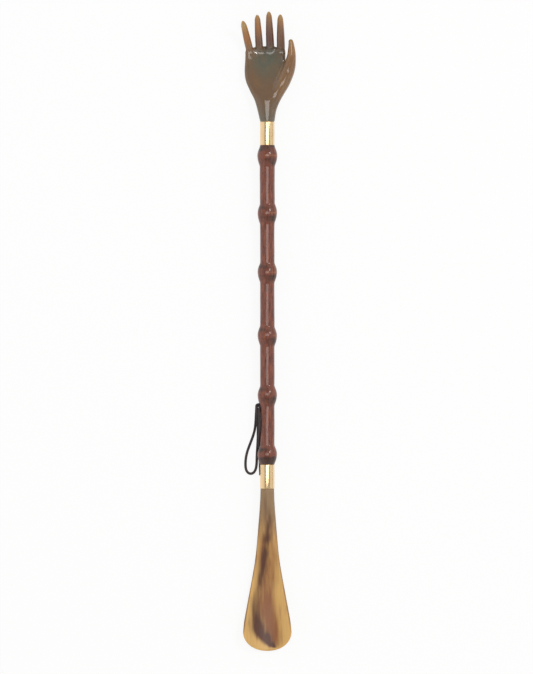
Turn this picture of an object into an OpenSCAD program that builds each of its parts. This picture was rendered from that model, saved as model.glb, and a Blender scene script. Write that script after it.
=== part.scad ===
// Two-ended back scratcher: a carved horn hand, a hardwood shaft carved as bamboo and a
// horn shoehorn blade, joined by studs inside two brass collars, with a leather hanging lace.
// It lies on a table, palm and blade hollow upwards. Millimetres: X to the right, Y towards
// the hand, Z up. The origin is on the table, under the middle of the length.

/* [Hand] */
// Wrist to the line of the finger roots
palm_len = 74; // [66:0.5:84]
// Width across the palm, without the thumb
palm_w = 40; // [34:0.5:46]
// Thickness at the heel of the palm
palm_t = 13.8; // [11:0.1:16]
// Depth of the hollow carved into the palm
palm_hollow = 5; // [2:0.25:6]
// Little finger, from its root inside the palm
little_len = 48.9; // [42:0.1:54]
// Ring finger
ring_len = 55.7; // [48:0.1:60]
// Middle finger
middle_len = 59.6; // [52:0.1:66]
// Index finger
index_len = 56.1; // [48:0.1:60]
// Thumb, from its root in the wrist
thumb_len = 68.4; // [60:0.1:74]
// Thickness of the ball of the thumb
thumb_w = 14; // [12:0.1:16]
// Width of the middle finger at its root
finger_w = 8.2; // [6.5:0.1:9]
// Width that the fingers taper to, behind their rounded tips
fingertip_w = 5; // [4:0.1:6]
// Curl of the fingers at their tips, degrees above the palm
finger_curl = 50; // [25:1:70]

/* [Shaft] */
// Shaft between the two collars
shaft_len = 319.5; // [300:0.5:340]
// Diameter between the swellings
shaft_d = 14.1; // [13:0.1:16]
// Diameter over the swellings, which the shaft lies on
node_d = 19; // [17:0.1:22]
// Upper collar to the first swelling
first_node = 9.5; // [8:0.5:14]
// Last swelling to the lower collar
last_node = 10; // [8:0.5:14]
// Length of the flank above a swelling's ridge
node_upper = 12; // [8:0.5:16]
// Length of the flank below a swelling's ridge
node_lower = 14.5; // [10:0.5:18]

/* [Collars and studs] */
// Upper collar
upper_collar_len = 23.5; // [18:0.5:30]
// Lower collar
lower_collar_len = 24; // [18:0.5:30]
// Outside diameter of the collars
collar_d = 14.4; // [13.6:0.1:16]
// Wall of the collars
collar_wall = 0.8; // [0.5:0.1:1.2]
// Chamfer on the collar edges
collar_chamfer = 0.4; // [0.1:0.05:0.5]
// Diameter of the studs
stud_d = 5; // [3:0.5:6]
// Length of the studs
stud_len = 36; // [24:1:44]
// Room for glue round spigots, tenons and studs
glue_gap = 0.1; // [0.05:0.01:0.2]

/* [Shoehorn blade] */
// Lower collar to the tip
blade_len = 162.5; // [140:0.5:190]
// Greatest width
blade_w = 48.5; // [40:0.5:56]
// Diameter of the neck
neck_d = 13.5; // [12:0.1:14.5]
// Thickness of the thin end
blade_t = 3; // [2:0.1:4]
// Depth of the trough at the wide end
trough = 9; // [5:0.25:12]
// Length of the rounded tip
tip_len = 19.5; // [14:0.5:26]

/* [Lace] */
// Thickness of the lace
lace_d = 2.4; // [1.8:0.1:2.4]
// Diameter of the lace hole
lace_hole_d = 5.5; // [5.4:0.1:6.5]
// Depth of the lace hole, from the axis
lace_hole_past = 3; // [0:0.5:4]
// Distance of the lace hole above the lower collar
lace_hole_up = 59.1; // [56:0.1:62]

/* [Hidden] */
$fn = 64;

horn = "#6f6a58";
pale_horn = "#c09a60";
brass = "#d9b476";
stained_wood = "#74483a";
steel = "#a8abae";
leather = "#3a3434";

// The axis of shaft, collars, wrist and neck lies this high, with the swellings on the table
axis_z = node_d / 2;

// Round parts of the two joints
collar_r = collar_d / 2;
bore_r = collar_r - collar_wall;
spigot_r = bore_r - glue_gap;
stud_r = stud_d / 2;
stud_hole_r = stud_r + glue_gap;
stud_hole_depth = stud_len / 2 + glue_gap;
// Depth that a tenon runs on inside its own piece
tenon_bury = 1;

// Fingers: root x and tip x as shares of the palm's width, length, half width at the root, root height
finger_half = finger_w / 2;
tip_half = fingertip_w / 2;
fingers = [
    [-0.36, -0.61, little_len, finger_half * 0.927, palm_t * 0.355],
    [-0.1725, -0.2525, ring_len, finger_half * 0.939, palm_t * 0.268],
    [0.09, 0.0375, middle_len, finger_half, palm_t * 0.246],
    [0.3475, 0.3225, index_len, finger_half, palm_t * 0.333]
];
longest = 2;
finger_sides = 20;
finger_steps = [for (i = [0 : 16]) i / 18];
nose_steps = [0.92, 0.945, 0.965, 0.98, 0.992, 0.999];
// Length that a finger runs inside the palm, where it starts at these shares of its thickness and width
finger_bury = 16;
finger_thin = 0.45;
finger_narrow = 0.8;
// A finger is this much flatter than it is wide
finger_flat = 0.92;
// Length of the rounded tip of a finger
nose_len = 5.5;
// Length over which the palm divides into the feet of the fingers
divide_len = 14;
// Rounding of the palm's edge, how far it runs past the finger roots, how far a web climbs the fingers,
// and its thickness as a share of theirs
web_round = 6;
web_past = 1.5;
web_climb = 2.2;
web_t = 0.45;

// Reach of a finger along Y and its rise, as an arc that starts level and ends at the curl
curl_rad = finger_curl * PI / 180;
function arc_reach(len, t) = len * sin(finger_curl * t) / curl_rad;
function arc_rise(len, t) = len * (1 - cos(finger_curl * t)) / curl_rad;
function share_at(len, reach) = asin(reach * curl_rad / len) / finger_curl;

// Places along the length
hand_len = palm_len - finger_bury + arc_reach(fingers[longest][2], 1);
total_len = hand_len + upper_collar_len + shaft_len + lower_collar_len + blade_len;
wrist_y = total_len / 2 - hand_len;
shaft_top = wrist_y - upper_collar_len;
shaft_bottom = shaft_top - shaft_len;
neck_y = shaft_bottom - lower_collar_len;
upper_joint_y = wrist_y - upper_collar_len / 2;
lower_joint_y = shaft_bottom - lower_collar_len / 2;
lace_hole_y = shaft_bottom + lace_hole_up;

// Swellings of the shaft, with the carver's own departures from an even spacing
node_offsets = [0, 1.5, 3.5, -0.5, -0.5, 0];
node_pitch = (shaft_len - first_node - last_node) / (len(node_offsets) - 1);
node_ys = [for (i = [0 : len(node_offsets) - 1])
    shaft_top - first_node - i * node_pitch + node_offsets[i]];
node_rise = (node_d - shaft_d) / 2;

// Lace routes, chosen by hand: the loop starts and ends at its pivot, and its two ends lie side by side
// in the lower part of the hole, under the tail
loop_route = [
    [-10.8, -74.4, 8.8], [-10.3, -78, 8.3], [-9.9, -84, 7.4], [-9.7, -90, 6.2], [-9.7, -96, 5],
    [-9.8, -102, 3.8], [-10, -108, 2.7], [-10.3, -114, 1.8], [-10.5, -120, 1.3],
    [-10.6, -126, 1.3], [-10.8, -130.5, 1.3], [-11.2, -134.5, 1.3], [-11.7, -137.2, 1.3],
    [-12.5, -139.7, 1.3], [-14, -141.6, 1.3], [-16.3, -142.4, 1.3], [-18.6, -141.7, 1.3],
    [-20.1, -139.9, 1.3], [-20.9, -137.4, 1.3], [-21.3, -134, 1.3], [-21.3, -129.5, 1.3],
    [-20.8, -124.5, 1.3], [-19.8, -119.5, 1.3], [-18.3, -114.5, 1.3], [-16.5, -109.5, 1.3],
    [-14.8, -104.5, 1.5], [-13.3, -99.5, 2.1], [-12.3, -94.5, 3.1], [-11.6, -89.5, 4.1],
    [-11.2, -84, 5.1], [-11, -78.5, 5.8], [-10.8, -74.4, 6.2]
];
root_routes = [
    [[2.5, -73.15, 8.8], [-7.6, -73.15, 8.8], [-9.1, -73.9, 8.7]],
    [[2.5, -75.65, 8.8], [-7.6, -75.65, 8.8], [-8.8, -74.9, 7.3]]
];
tail_route = [
    [2.5, -74.4, 10.9], [-2.5, -74.4, 10.9], [-5.5, -74.4, 10.9], [-7.6, -74.7, 11.1],
    [-9.1, -75.9, 11.5], [-9.7, -77.9, 12.1], [-9.4, -80.4, 12.7], [-8.7, -83.4, 13.2],
    [-8, -87, 13.5], [-7.6, -91, 13.5], [-7.5, -95, 13.2], [-7.7, -99, 12.4], [-8.1, -103, 11],
    [-8.3, -107, 9], [-8.2, -111, 6.7], [-7.9, -115, 4.4], [-7.7, -119, 2.6], [-7.6, -123.5, 1.5],
    [-7.5, -128, 1.3], [-7.3, -133.5, 1.3], [-7.1, -139, 1.3], [-6.9, -144, 1.3]
];
lace_r = lace_d / 2;
lace_sides = 8;

// Value of column k at s, on a smooth curve through rows whose first column is the place
function row_at(rows, s) =
    let (passed = [for (i = [0 : len(rows) - 2]) if (s >= rows[i][0]) i])
    len(passed) == 0 ? 0 : passed[len(passed) - 1];
function slope(rows, i, k) =
    let (a = rows[max(i - 1, 0)], b = rows[min(i + 1, len(rows) - 1)]) (b[k] - a[k]) / (b[0] - a[0]);
function smooth_at(rows, s, k) =
    let (i = row_at(rows, s), a = rows[i], b = rows[i + 1], w = b[0] - a[0], t = (s - a[0]) / w)
    a[k] * (1 + 2 * t) * (1 - t) * (1 - t) + slope(rows, i, k) * w * t * (1 - t) * (1 - t)
    + b[k] * t * t * (3 - 2 * t) - slope(rows, i + 1, k) * w * t * t * (1 - t);
function backwards(list) = [for (i = [len(list) - 1 : -1 : 0]) list[i]];
function ease(t) = t <= 0 ? 0 : t >= 1 ? 1 : t * t * (3 - 2 * t);

// A corner of a rounded outline: n = 2 is an ellipse, larger n is boxier
function squared(c, n) = sign(c) * pow(abs(c), 2 / n);

// Closed skin over rings of equal length, with flat ends
module skin(rings) {
    n = len(rings[0]);
    last = len(rings) - 1;
    points = [for (ring = rings) each ring];
    sides = [for (i = [0 : last - 1], j = [0 : n - 1]) let (k = (j + 1) % n)
        each [[i * n + j, i * n + k, (i + 1) * n + j], [i * n + k, (i + 1) * n + k, (i + 1) * n + j]]];
    first_end = [for (j = [n - 1 : -1 : 0]) j];
    last_end = [for (j = [0 : n - 1]) last * n + j];
    polyhedron(points, concat([first_end], sides, [last_end]), convexity = 6);
}

module along_y(y) {
    translate([0, y, axis_z]) rotate([90, 0, 0]) children();
}

// Hole for a stud, as far into both pieces from the middle of their collar
module stud_hole(joint_y) {
    along_y(joint_y + stud_hole_depth) cylinder(r = stud_hole_r, h = 2 * stud_hole_depth);
}

// A finger leaves the palm level, curls up on an arc, tapers late and ends in a rounded tip
function finger_x(f, reach) = palm_w * (f[0] + (f[1] - f[0]) * reach / arc_reach(f[2], 1));
function finger_ring(f, t) =
    let (reach = arc_reach(f[2], t), left = arc_reach(f[2], 1) - reach, turn = finger_curl * t,
         free = arc_reach(f[2], 1) - finger_bury,
         nose = left >= nose_len ? 1 : sqrt(1 - pow(1 - left / nose_len, 2)),
         full = (f[3] - (f[3] - tip_half) * pow(max(1 - left / free, 0), 2)) * nose,
         out = ease(reach / finger_bury), w = full * (finger_narrow + (1 - finger_narrow) * out),
         h = full * finger_flat * (finger_thin + (1 - finger_thin) * out),
         y = wrist_y + palm_len - finger_bury + reach, z = f[4] + arc_rise(f[2], t))
    [for (j = [0 : finger_sides - 1]) let (a = 360 * j / finger_sides)
        [finger_x(f, reach) + w * cos(a), y - h * sin(a) * sin(turn), z + h * sin(a) * cos(turn)]];

module finger(f) {
    skin([for (t = concat(finger_steps, nose_steps)) finger_ring(f, t)]);
}

// Feet of the fingers in the palm: forks lie midway between the flanks of two fingers. A column is a
// place on a foot: the finger's number, and the share of the way from the middle to a fork or outer flank
last_finger = len(fingers) - 1;
flank_shares = [1, 0.97, 0.88, 0.72, 0.5, 0.25];
fork_shares = [0.25, 0.5, 0.75];
columns = concat(
    [for (q = flank_shares) [0, -q]],
    [for (i = [0 : last_finger]) each concat(
        i == 0 ? [] : [for (q = backwards(fork_shares)) [i, -q]],
        [[i, 0]],
        i == last_finger ? [] : [for (q = concat(fork_shares, [1])) [i, q]])],
    [for (q = backwards(flank_shares)) [last_finger, q]]
);
function is_flank(c) = (c[0] == 0 && c[1] < 0) || (c[0] == last_finger && c[1] > 0);
function fork_x(i, reach) =
    let (a = fingers[i], b = fingers[i + 1]) (finger_x(a, reach) + a[3] + finger_x(b, reach) - b[3]) / 2;
function foot_x(c, reach) =
    let (f = fingers[c[0]], mid = finger_x(f, reach),
         half = is_flank(c) ? f[3] : c[1] < 0 ? mid - fork_x(c[0] - 1, reach)
              : c[0] == last_finger ? 0 : fork_x(c[0], reach) - mid)
    mid + c[1] * half;
// A foot is an ellipse, with a web of some thickness left at its forks
function foot_h(c) =
    finger_flat * fingers[c[0]][3] * sqrt(1 - c[1] * c[1] * (is_flank(c) ? 1 : 1 - web_t * web_t));

// Palm: half widths left and right of the axis, back and front heights, hollow, corner shape
palm_left = palm_w * 0.5675;
palm_right = palm_w * 0.435;
palm_rows = [
    [0, collar_r, collar_r, axis_z - collar_r, axis_z + collar_r, 0, 2],
    [palm_len * 0.15, palm_left * 0.425, palm_right * 0.52, axis_z * 0.253, axis_z * 1.716, 0, 2],
    [palm_len * 0.29, palm_left * 0.553, palm_right * 0.7, axis_z * 0.221, axis_z * 1.632,
     palm_hollow * 0.04, 2.05],
    [palm_len * 0.42, palm_left * 0.75, palm_right * 0.92, axis_z * 0.137, axis_z * 1.547,
     palm_hollow * 0.2, 2.1],
    [palm_len * 0.55, palm_left * 0.955, palm_right, axis_z * 0.042, palm_t, palm_hollow * 0.5, 2.15],
    [palm_len * 0.68, palm_left, palm_right, 0, palm_t * 0.957, palm_hollow * 0.8, 2.2],
    [palm_len * 0.84, palm_left * 0.965, palm_right, 0, palm_t * 0.899, palm_hollow, 2.2],
    [palm_len + web_past, palm_left * 0.94, palm_right * 1.023, palm_t * 0.043, palm_t * 0.812,
     palm_hollow * 0.9, 2.2]
];
palm_step = 3;
hollow_edge = 1.5;
web_steps = [0.3, 0.55, 0.75, 0.9, 0.985];
web_start = palm_len + web_past - web_round;

// The edge between the fingers is rounded over the last stretch of the palm
function web_close(s) =
    let (t = (s - web_start) / web_round) t <= 0 ? 1 : sqrt(1 - t * t);

// Ring of the palm: a dished, flattened oval that divides towards its end into the feet of the fingers
function palm_ring(s) =
    let (left = smooth_at(palm_rows, s, 1), right = smooth_at(palm_rows, s, 2),
         back = max(smooth_at(palm_rows, s, 3), 0), front = smooth_at(palm_rows, s, 4),
         hollow = max(smooth_at(palm_rows, s, 5), 0), n = smooth_at(palm_rows, s, 6),
         reach = max(s - palm_len + finger_bury, 0), close = web_close(s),
         divide = ease((s - palm_len + divide_len) / divide_len), last = len(columns) - 1,
         sides = [for (k = [0 : last])
             let (c = columns[k], f = fingers[c[0]], even = -cos(180 * k / last),
                  even_x = even * (even < 0 ? left : right),
                  x = even_x + (foot_x(c, reach) - even_x) * divide,
                  u = min(abs(x) / (x < 0 ? left : right), 1), v = pow(1 - pow(u, n), 1 / n),
                  mid = f[4] + arc_rise(f[2], share_at(f[2], reach)),
                  top = (back + front) / 2 + (front - back) / 2 * v - hollow * pow(1 - u * u, hollow_edge),
                  bottom = (back + front) / 2 - (front - back) / 2 * v,
                  high = top + (mid + foot_h(c) - top) * divide,
                  low = bottom + (mid - foot_h(c) - bottom) * divide, centre = (high + low) / 2,
                  y = wrist_y + s + divide * web_climb * (1 - c[1] * c[1]))
             [[x, y, centre + (high - centre) * close], [x, y, centre + (low - centre) * close]]])
    concat([for (side = backwards(sides)) side[0]], [for (k = [1 : last - 1]) sides[k][1]]);

module palm() {
    steps = ceil(web_start / palm_step);
    skin([for (s = concat([for (i = [0 : steps]) web_start * i / steps],
                          [for (t = web_steps) web_start + web_round * t])) palm_ring(s)]);
}

// Ball of the thumb and thumb: share of the length, x as a share of the palm's width, height as a share of
// the axis's, radius as a share of the greatest
thumb_rows = [
    [0, 0.0625, 0.947, 0.786], [0.2, 0.22, 0.937, 0.929], [0.38, 0.388, 0.916, 1],
    [0.52, 0.494, 0.937, 0.971], [0.65, 0.565, 1.032, 0.829], [0.78, 0.603, 1.242, 0.629],
    [0.9, 0.603, 1.526, 0.486], [1, 0.588, 1.863, 0.329]
];
thumb_r = thumb_w / 2;
thumb_tip_r = thumb_r * thumb_rows[len(thumb_rows) - 1][3];
thumb_start = 14;
thumb_joints = 14;
thumb_ball = [for (i = [0 : thumb_joints]) let (t = i / thumb_joints)
    [[palm_w * smooth_at(thumb_rows, t, 1), wrist_y + thumb_start + (thumb_len - thumb_tip_r) * t,
      axis_z * smooth_at(thumb_rows, t, 2)], thumb_r * smooth_at(thumb_rows, t, 3)]];

// The thumb is a chain of balls, each drawn out to the next
module thumb() {
    for (i = [0 : thumb_joints - 1])
        hull() {
            translate(thumb_ball[i][0]) sphere(r = thumb_ball[i][1], $fn = finger_sides);
            translate(thumb_ball[i + 1][0]) sphere(r = thumb_ball[i + 1][1], $fn = finger_sides);
        }
}

module scratcher_hand() {
    color(horn) difference() {
        union() {
            palm();
            for (f = fingers) finger(f);
            thumb();
            along_y(wrist_y + tenon_bury)
                cylinder(r = spigot_r, h = upper_collar_len / 2 - glue_gap / 2 + tenon_bury);
        }
        stud_hole(upper_joint_y);
    }
}

// Brass tube from y downwards, with chamfered edges
module collar(y, length) {
    c = min(collar_chamfer, collar_wall / 2);
    color(brass) along_y(y) rotate_extrude() polygon([
        [bore_r, 0], [collar_r - c, 0], [collar_r, c],
        [collar_r, length - c], [collar_r - c, length], [bore_r, length]
    ]);
}

module upper_collar() {
    collar(wrist_y, upper_collar_len);
}

module lower_collar() {
    collar(shaft_bottom, lower_collar_len);
}

module stud(joint_y) {
    color(steel) along_y(joint_y + stud_len / 2) cylinder(r = stud_r, h = stud_len);
}

module upper_stud() {
    stud(upper_joint_y);
}

module lower_stud() {
    stud(lower_joint_y);
}

// Swelling at a distance d above (negative) or below its ridge, from 0 to 1
lower_hollow = 1.35;
function swelling(d, upper, lower) =
    d < 0 ? (d <= -upper ? 0 : (1 + cos(180 * d / upper)) / 2)
          : (d >= lower ? 0 : pow(1 - d / lower, lower_hollow));
upper_steps = [-1, -0.8, -0.6, -0.45, -0.3, -0.15];
lower_steps = [0, 0.12, 0.25, 0.4, 0.55, 0.7, 0.85, 1];

// Outline of one swelling from above its ridge to below it: radius, and distance below the shaft's top
end_step = 0.01;
function swelling_outline(y) =
    let (upper = min(node_upper, shaft_top - y - end_step),
         lower = min(node_lower, y - shaft_bottom - end_step),
         ds = concat([for (s = upper_steps) s * upper], [for (s = lower_steps) s * lower]))
    [for (d = ds) [shaft_d / 2 + node_rise * swelling(d, upper, lower), shaft_top - y + d]];

module shaft() {
    spigot_top = upper_collar_len / 2 - glue_gap / 2;
    spigot_bottom = lower_collar_len / 2 - glue_gap / 2;
    color(stained_wood) difference() {
        along_y(shaft_top) rotate_extrude() polygon(concat(
            [[0, -spigot_top], [spigot_r, -spigot_top], [spigot_r, 0], [shaft_d / 2, 0]],
            [for (y = node_ys) each swelling_outline(y)],
            [[shaft_d / 2, shaft_len], [spigot_r, shaft_len], [spigot_r, shaft_len + spigot_bottom],
             [0, shaft_len + spigot_bottom]]
        ));
        stud_hole(upper_joint_y);
        stud_hole(lower_joint_y);
        translate([lace_hole_past, lace_hole_y, axis_z]) rotate([0, -90, 0])
            cylinder(d = lace_hole_d, h = node_d);
    }
}

// Blade: share of the length to the tip's start, half width as a share of the greatest
blade_rows = [[0, neck_d / blade_w], [0.1, 0.3], [0.26, 0.37], [0.42, 0.45], [0.52, 0.52], [0.62, 0.62],
              [0.73, 0.74], [0.84, 0.86], [0.93, 0.955], [1, 1]];
blade_sides = 40;
blade_step = 5;
tip_steps = [0.3, 0.55, 0.75, 0.88, 0.96, 0.995];
tip_shape = 2.1;
// The tip turns up by this much, from this share of the length on
tip_lift = 2;
lift_from = 0.7;
// Shares of the length over which the neck flattens, and over which it comes down to the table
flat_share = 0.62;
fall_share = 0.75;
blade_straight = blade_len - tip_len;

function blade_half_w(s) =
    blade_w / 2 * (s <= blade_straight ? smooth_at(blade_rows, s / blade_straight, 1)
        : pow(1 - pow((s - blade_straight) / tip_len, tip_shape), 1 / tip_shape));

// The round neck flattens into the thin trough over the upper part of the blade
function blade_ring(s) =
    let (w = blade_half_w(s), flat = ease(s / (blade_len * flat_share)),
         half = neck_d / 2 + (blade_t - neck_d) / 2 * flat, n = 2 + 2 * flat,
         fall = ease(s / (blade_len * fall_share)),
         lift = tip_lift * pow(max(s / blade_len - lift_from, 0) / (1 - lift_from), 2),
         mid = axis_z + (blade_t / 2 - axis_z) * fall + lift,
         full = blade_w / 2, sag = trough * flat)
    [for (j = [0 : blade_sides - 1])
        let (a = 360 * j / blade_sides, x = w * squared(cos(a), n))
        [x, neck_y - s, mid + sag * pow(x / full, 2) + half * squared(sin(a), n)]];

module shoehorn_blade() {
    steps = ceil(blade_straight / blade_step);
    places = concat([for (i = [0 : steps]) blade_straight * i / steps],
                    [for (t = tip_steps) blade_straight + tip_len * t]);
    color(pale_horn) difference() {
        union() {
            skin([for (s = backwards(places)) blade_ring(s)]);
            along_y(lower_joint_y - glue_gap / 2)
                cylinder(r = spigot_r, h = lower_collar_len / 2 - glue_gap / 2 + tenon_bury);
        }
        stud_hole(lower_joint_y);
    }
}

// Ring of the lace about a point, square to its heading
function unit(v) = v / norm(v);
function lace_ring(p, along, r) =
    let (side = unit(cross(along, [0, 0, 1])), up = cross(side, along))
    [for (j = [0 : lace_sides - 1]) let (a = 360 * (j + 0.5) / lace_sides)
        p + r * (cos(a) * side + sin(a) * up)];
function heading(route, i) = unit(route[min(i + 1, len(route) - 1)] - route[max(i - 1, 0)]);

// Rings of a ball end, from the lace outwards
ball_angles = [30, 60];
function ball_end(p, along, out) =
    [for (a = ball_angles) lace_ring(p + out * lace_r * sin(a), along, lace_r * cos(a))];

// Round lace along a route, with ball ends or cut square
module lace(route, ball_ends) {
    last = len(route) - 1;
    first_way = heading(route, 0);
    last_way = heading(route, last);
    skin(concat(
        ball_ends ? backwards(ball_end(route[0], first_way, -first_way)) : [],
        [for (i = [0 : last]) lace_ring(route[i], heading(route, i), lace_r)],
        ball_ends ? ball_end(route[last], last_way, last_way) : []
    ));
}

module lace_root() {
    color(leather) for (route = root_routes) lace(route, false);
}

module lace_loop() {
    color(leather) lace(loop_route, true);
}

module lace_tail() {
    color(leather) lace(tail_route, false);
}

scratcher_hand();
upper_collar();
upper_stud();
shaft();
lower_stud();
lower_collar();
shoehorn_blade();
lace_root();
lace_loop();
lace_tail();
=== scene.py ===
"""Back scratcher and shoehorn in one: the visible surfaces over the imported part, and the stage.

Sizes in the code are millimetres, in the frame of the part: X to the right, Y towards the hand, Z up.
"""

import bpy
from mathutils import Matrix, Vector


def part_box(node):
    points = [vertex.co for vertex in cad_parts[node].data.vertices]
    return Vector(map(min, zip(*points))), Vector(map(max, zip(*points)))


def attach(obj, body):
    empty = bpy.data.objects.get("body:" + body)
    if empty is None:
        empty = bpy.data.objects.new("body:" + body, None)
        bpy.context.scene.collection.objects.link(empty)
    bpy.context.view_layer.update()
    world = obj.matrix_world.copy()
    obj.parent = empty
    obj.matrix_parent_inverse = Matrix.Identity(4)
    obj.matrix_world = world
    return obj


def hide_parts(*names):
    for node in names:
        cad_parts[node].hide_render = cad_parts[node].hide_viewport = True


bl_info = {
    "name": "Back scratcher with shoehorn",
    "version": (1, 0, 0),
    "blender": (4, 5, 0),
    "location": "View3D > Sidebar > Back scratcher",
    "description": "Carved horn hand, bamboo-carved shaft, brass collars, horn blade and leather lace",
    "category": "Object",
}

import math

import bpy
import numpy as np
import openvdb
from bpy.props import FloatProperty, FloatVectorProperty, PointerProperty

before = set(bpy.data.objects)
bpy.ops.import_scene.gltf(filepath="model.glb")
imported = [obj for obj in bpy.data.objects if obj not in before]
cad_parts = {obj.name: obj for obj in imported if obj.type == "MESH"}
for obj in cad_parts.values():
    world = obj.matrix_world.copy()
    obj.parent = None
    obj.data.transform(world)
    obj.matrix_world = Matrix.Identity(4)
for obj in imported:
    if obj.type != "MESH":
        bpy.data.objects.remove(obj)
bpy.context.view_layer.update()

MM = 0.001

# Places along the part, from the boxes of the solids
UPPER_COLLAR = np.array(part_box("upper_collar")) / MM
LOWER_COLLAR = np.array(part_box("lower_collar")) / MM
BLADE_BOX = np.array(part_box("shoehorn_blade")) / MM
WRIST_Y = UPPER_COLLAR[1][1]
SHAFT_TOP = UPPER_COLLAR[0][1]
SHAFT_BOTTOM = LOWER_COLLAR[1][1]
NECK_Y = LOWER_COLLAR[0][1]
AXIS_Z = (UPPER_COLLAR[0][2] + UPPER_COLLAR[1][2]) / 2
COLLAR_R = (UPPER_COLLAR[1][0] - UPPER_COLLAR[0][0]) / 2
COLLAR_WALL = 0.8
GLUE_GAP = 0.1
SPIGOT_R = COLLAR_R - COLLAR_WALL - GLUE_GAP
SHAFT_LEN = SHAFT_TOP - SHAFT_BOTTOM
# The pieces meet in the middle of the collars
UPPER_JOINT = (WRIST_Y + SHAFT_TOP) / 2
LOWER_JOINT = (SHAFT_BOTTOM + NECK_Y) / 2


def linear(hex_colour):
    """Linear RGBA of an sRGB hex colour."""
    srgb = np.array([int(hex_colour[i:i + 2], 16) for i in (1, 3, 5)]) / 255
    value = np.where(srgb <= 0.04045, srgb / 12.92, ((srgb + 0.055) / 1.055) ** 2.4)
    return (*value.tolist(), 1.0)


def length_setting(name, description, millimetres):
    """A length in metres that a user can change, given by its default in millimetres."""
    return FloatProperty(name=name, description=description, default=millimetres * MM, min=0,
                         unit="LENGTH", precision=4)


def colour_setting(name, description, hex_colour):
    """A colour that a user can change, given by its default in sRGB hex."""
    return FloatVectorProperty(name=name, description=description, default=linear(hex_colour)[:3],
                               size=3, min=0, max=1, subtype="COLOR")


class HandSettings(bpy.types.PropertyGroup):
    palm_length: length_setting("Palm length", "Wrist to the line of the finger roots", 74)
    palm_width: length_setting("Palm width", "Width across the palm, without the thumb", 40)
    palm_thickness: length_setting("Palm thickness", "Thickness at the heel of the palm", 13.8)
    palm_hollow: length_setting("Palm hollow", "Depth of the hollow carved into the palm", 5)
    finger_width: length_setting("Finger width", "Width of the middle finger at its root", 8.2)
    fingertip_width: length_setting("Fingertip width", "Width behind the rounded fingertips", 5)
    finger_curl: FloatProperty(name="Finger curl", description="Turn of a finger from root to tip",
                               default=math.radians(50), subtype="ANGLE")
    palm_colour: colour_setting("Palm", "Middle of the palm", "#5e665a")
    edge_colour: colour_setting("Edges", "Thin edges, ball of the thumb and wrist", "#775e48")
    plum_colour: colour_setting("Finger middles", "Dark middle of the long fingers", "#66463c")
    amber_colour: colour_setting("Amber", "Clear amber of the fingers", "#a06a3a")
    gold_colour: colour_setting("Tips", "Yellow fingertips", "#b08e58")


class ShaftSettings(bpy.types.PropertyGroup):
    diameter: length_setting("Diameter", "Diameter between the swellings", 14.4)
    swelling_diameter: length_setting("Swellings", "Diameter over the swellings", 19.5)
    hole_diameter: length_setting("Lace hole", "Diameter of the lace hole", 5.5)
    stain_colour: colour_setting("Stain", "Red-brown of the stained wood", "#623a32")
    light_colour: colour_setting("Light grain", "Lighter wood between the dark grain", "#92553f")
    # Worn ridges, with a painted highlight along them, mostly on the right
    wear_and_highlight_colour: colour_setting("Worn ridges", "Wood where the stain is rubbed thin", "#a87048")
    # Used for darker patches on the flanks and for painted shade under the ridges, below the last one
    # and at the top
    dark_colour: colour_setting("Antique stain", "Dark stain left in the hollows", "#382c27")


class CollarSettings(bpy.types.PropertyGroup):
    edge_round: length_setting("Edge rounding", "Rounding of the collars' edges", 0.4)
    brass_colour: colour_setting("Brass", "Polished brass", "#f4d3a2")


class BladeSettings(bpy.types.PropertyGroup):
    width: length_setting("Width", "Greatest width of the blade", 48.5)
    neck_diameter: length_setting("Neck", "Diameter of the neck", 13.5)
    thickness: length_setting("Thickness", "Thickness of the thin end", 3)
    trough: length_setting("Trough", "Depth of the trough at the wide end", 9)
    honey_colour: colour_setting("Honey", "Clear honey horn", "#deb168")
    olive_colour: colour_setting("Olive", "Greyer horn at the neck", "#977b59")
    brown_colour: colour_setting("Brown", "Brown cloud in the horn", "#905a31")
    dark_colour: colour_setting("Dark streak", "Dark streak in the horn", "#593525")
    # Painted shade along the rim, where the blade's edge rounds away
    rim_shade_colour: colour_setting("Rim", "Deeper horn along the rim", "#7c5730")


class LaceSettings(bpy.types.PropertyGroup):
    diameter: length_setting("Diameter", "Thickness of the lace", 2.6)
    leather_colour: colour_setting("Leather", "Dark dyed leather", "#363032")
    rubbed_colour: colour_setting("Rubbed leather", "Paler leather where it is handled", "#55473f")


class StageSettings(bpy.types.PropertyGroup):
    floor_size: FloatProperty(name="Floor", description="Side of the floor", default=6, unit="LENGTH")
    floor_colour: colour_setting("Floor", "Pale table top", "#f4f4f2")
    camera_height: FloatProperty(name="Camera height", description="Camera above the part's axis",
                                 default=20, unit="LENGTH")


# Shapes worked out as arrays


def ease(t):
    """Smooth step from 0 to 1."""
    t = np.clip(t, 0, 1)
    return t * t * (3 - 2 * t)


def bell(distance, width):
    """Bell curve of a distance: 1 at zero, falling off over the width."""
    return np.exp(-(distance / width) ** 2)


def smooth_rows(rows, place):
    """Smooth curve through rows of (place, values): cubic pieces whose slope at a row is that of the
    line between the rows beside it. Gives one column of values for each column of the rows."""
    rows = np.asarray(rows, float)
    index = np.arange(len(rows))
    before = rows[np.maximum(index - 1, 0)]
    after = rows[np.minimum(index + 1, len(rows) - 1)]
    slopes = (after - before)[:, 1:] / (after - before)[:, :1]
    i = np.clip(np.searchsorted(rows[:, 0], place, side="right") - 1, 0, len(rows) - 2)
    width = (rows[i + 1, 0] - rows[i, 0])[..., None]
    t = np.clip((np.asarray(place)[..., None] - rows[i, :1]) / width, 0, 1)
    value = (rows[i, 1:] * (1 + 2 * t) * (1 - t) ** 2 + slopes[i] * width * t * (1 - t) ** 2
             + rows[i + 1, 1:] * t * t * (3 - 2 * t) - slopes[i + 1] * width * t * t * (1 - t))
    return np.moveaxis(value, -1, 0)


def squared(c, n):
    """Coordinate of a rounded outline: n = 2 is an ellipse, larger n is boxier."""
    return np.sign(c) * np.abs(c) ** (2 / n)


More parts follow.
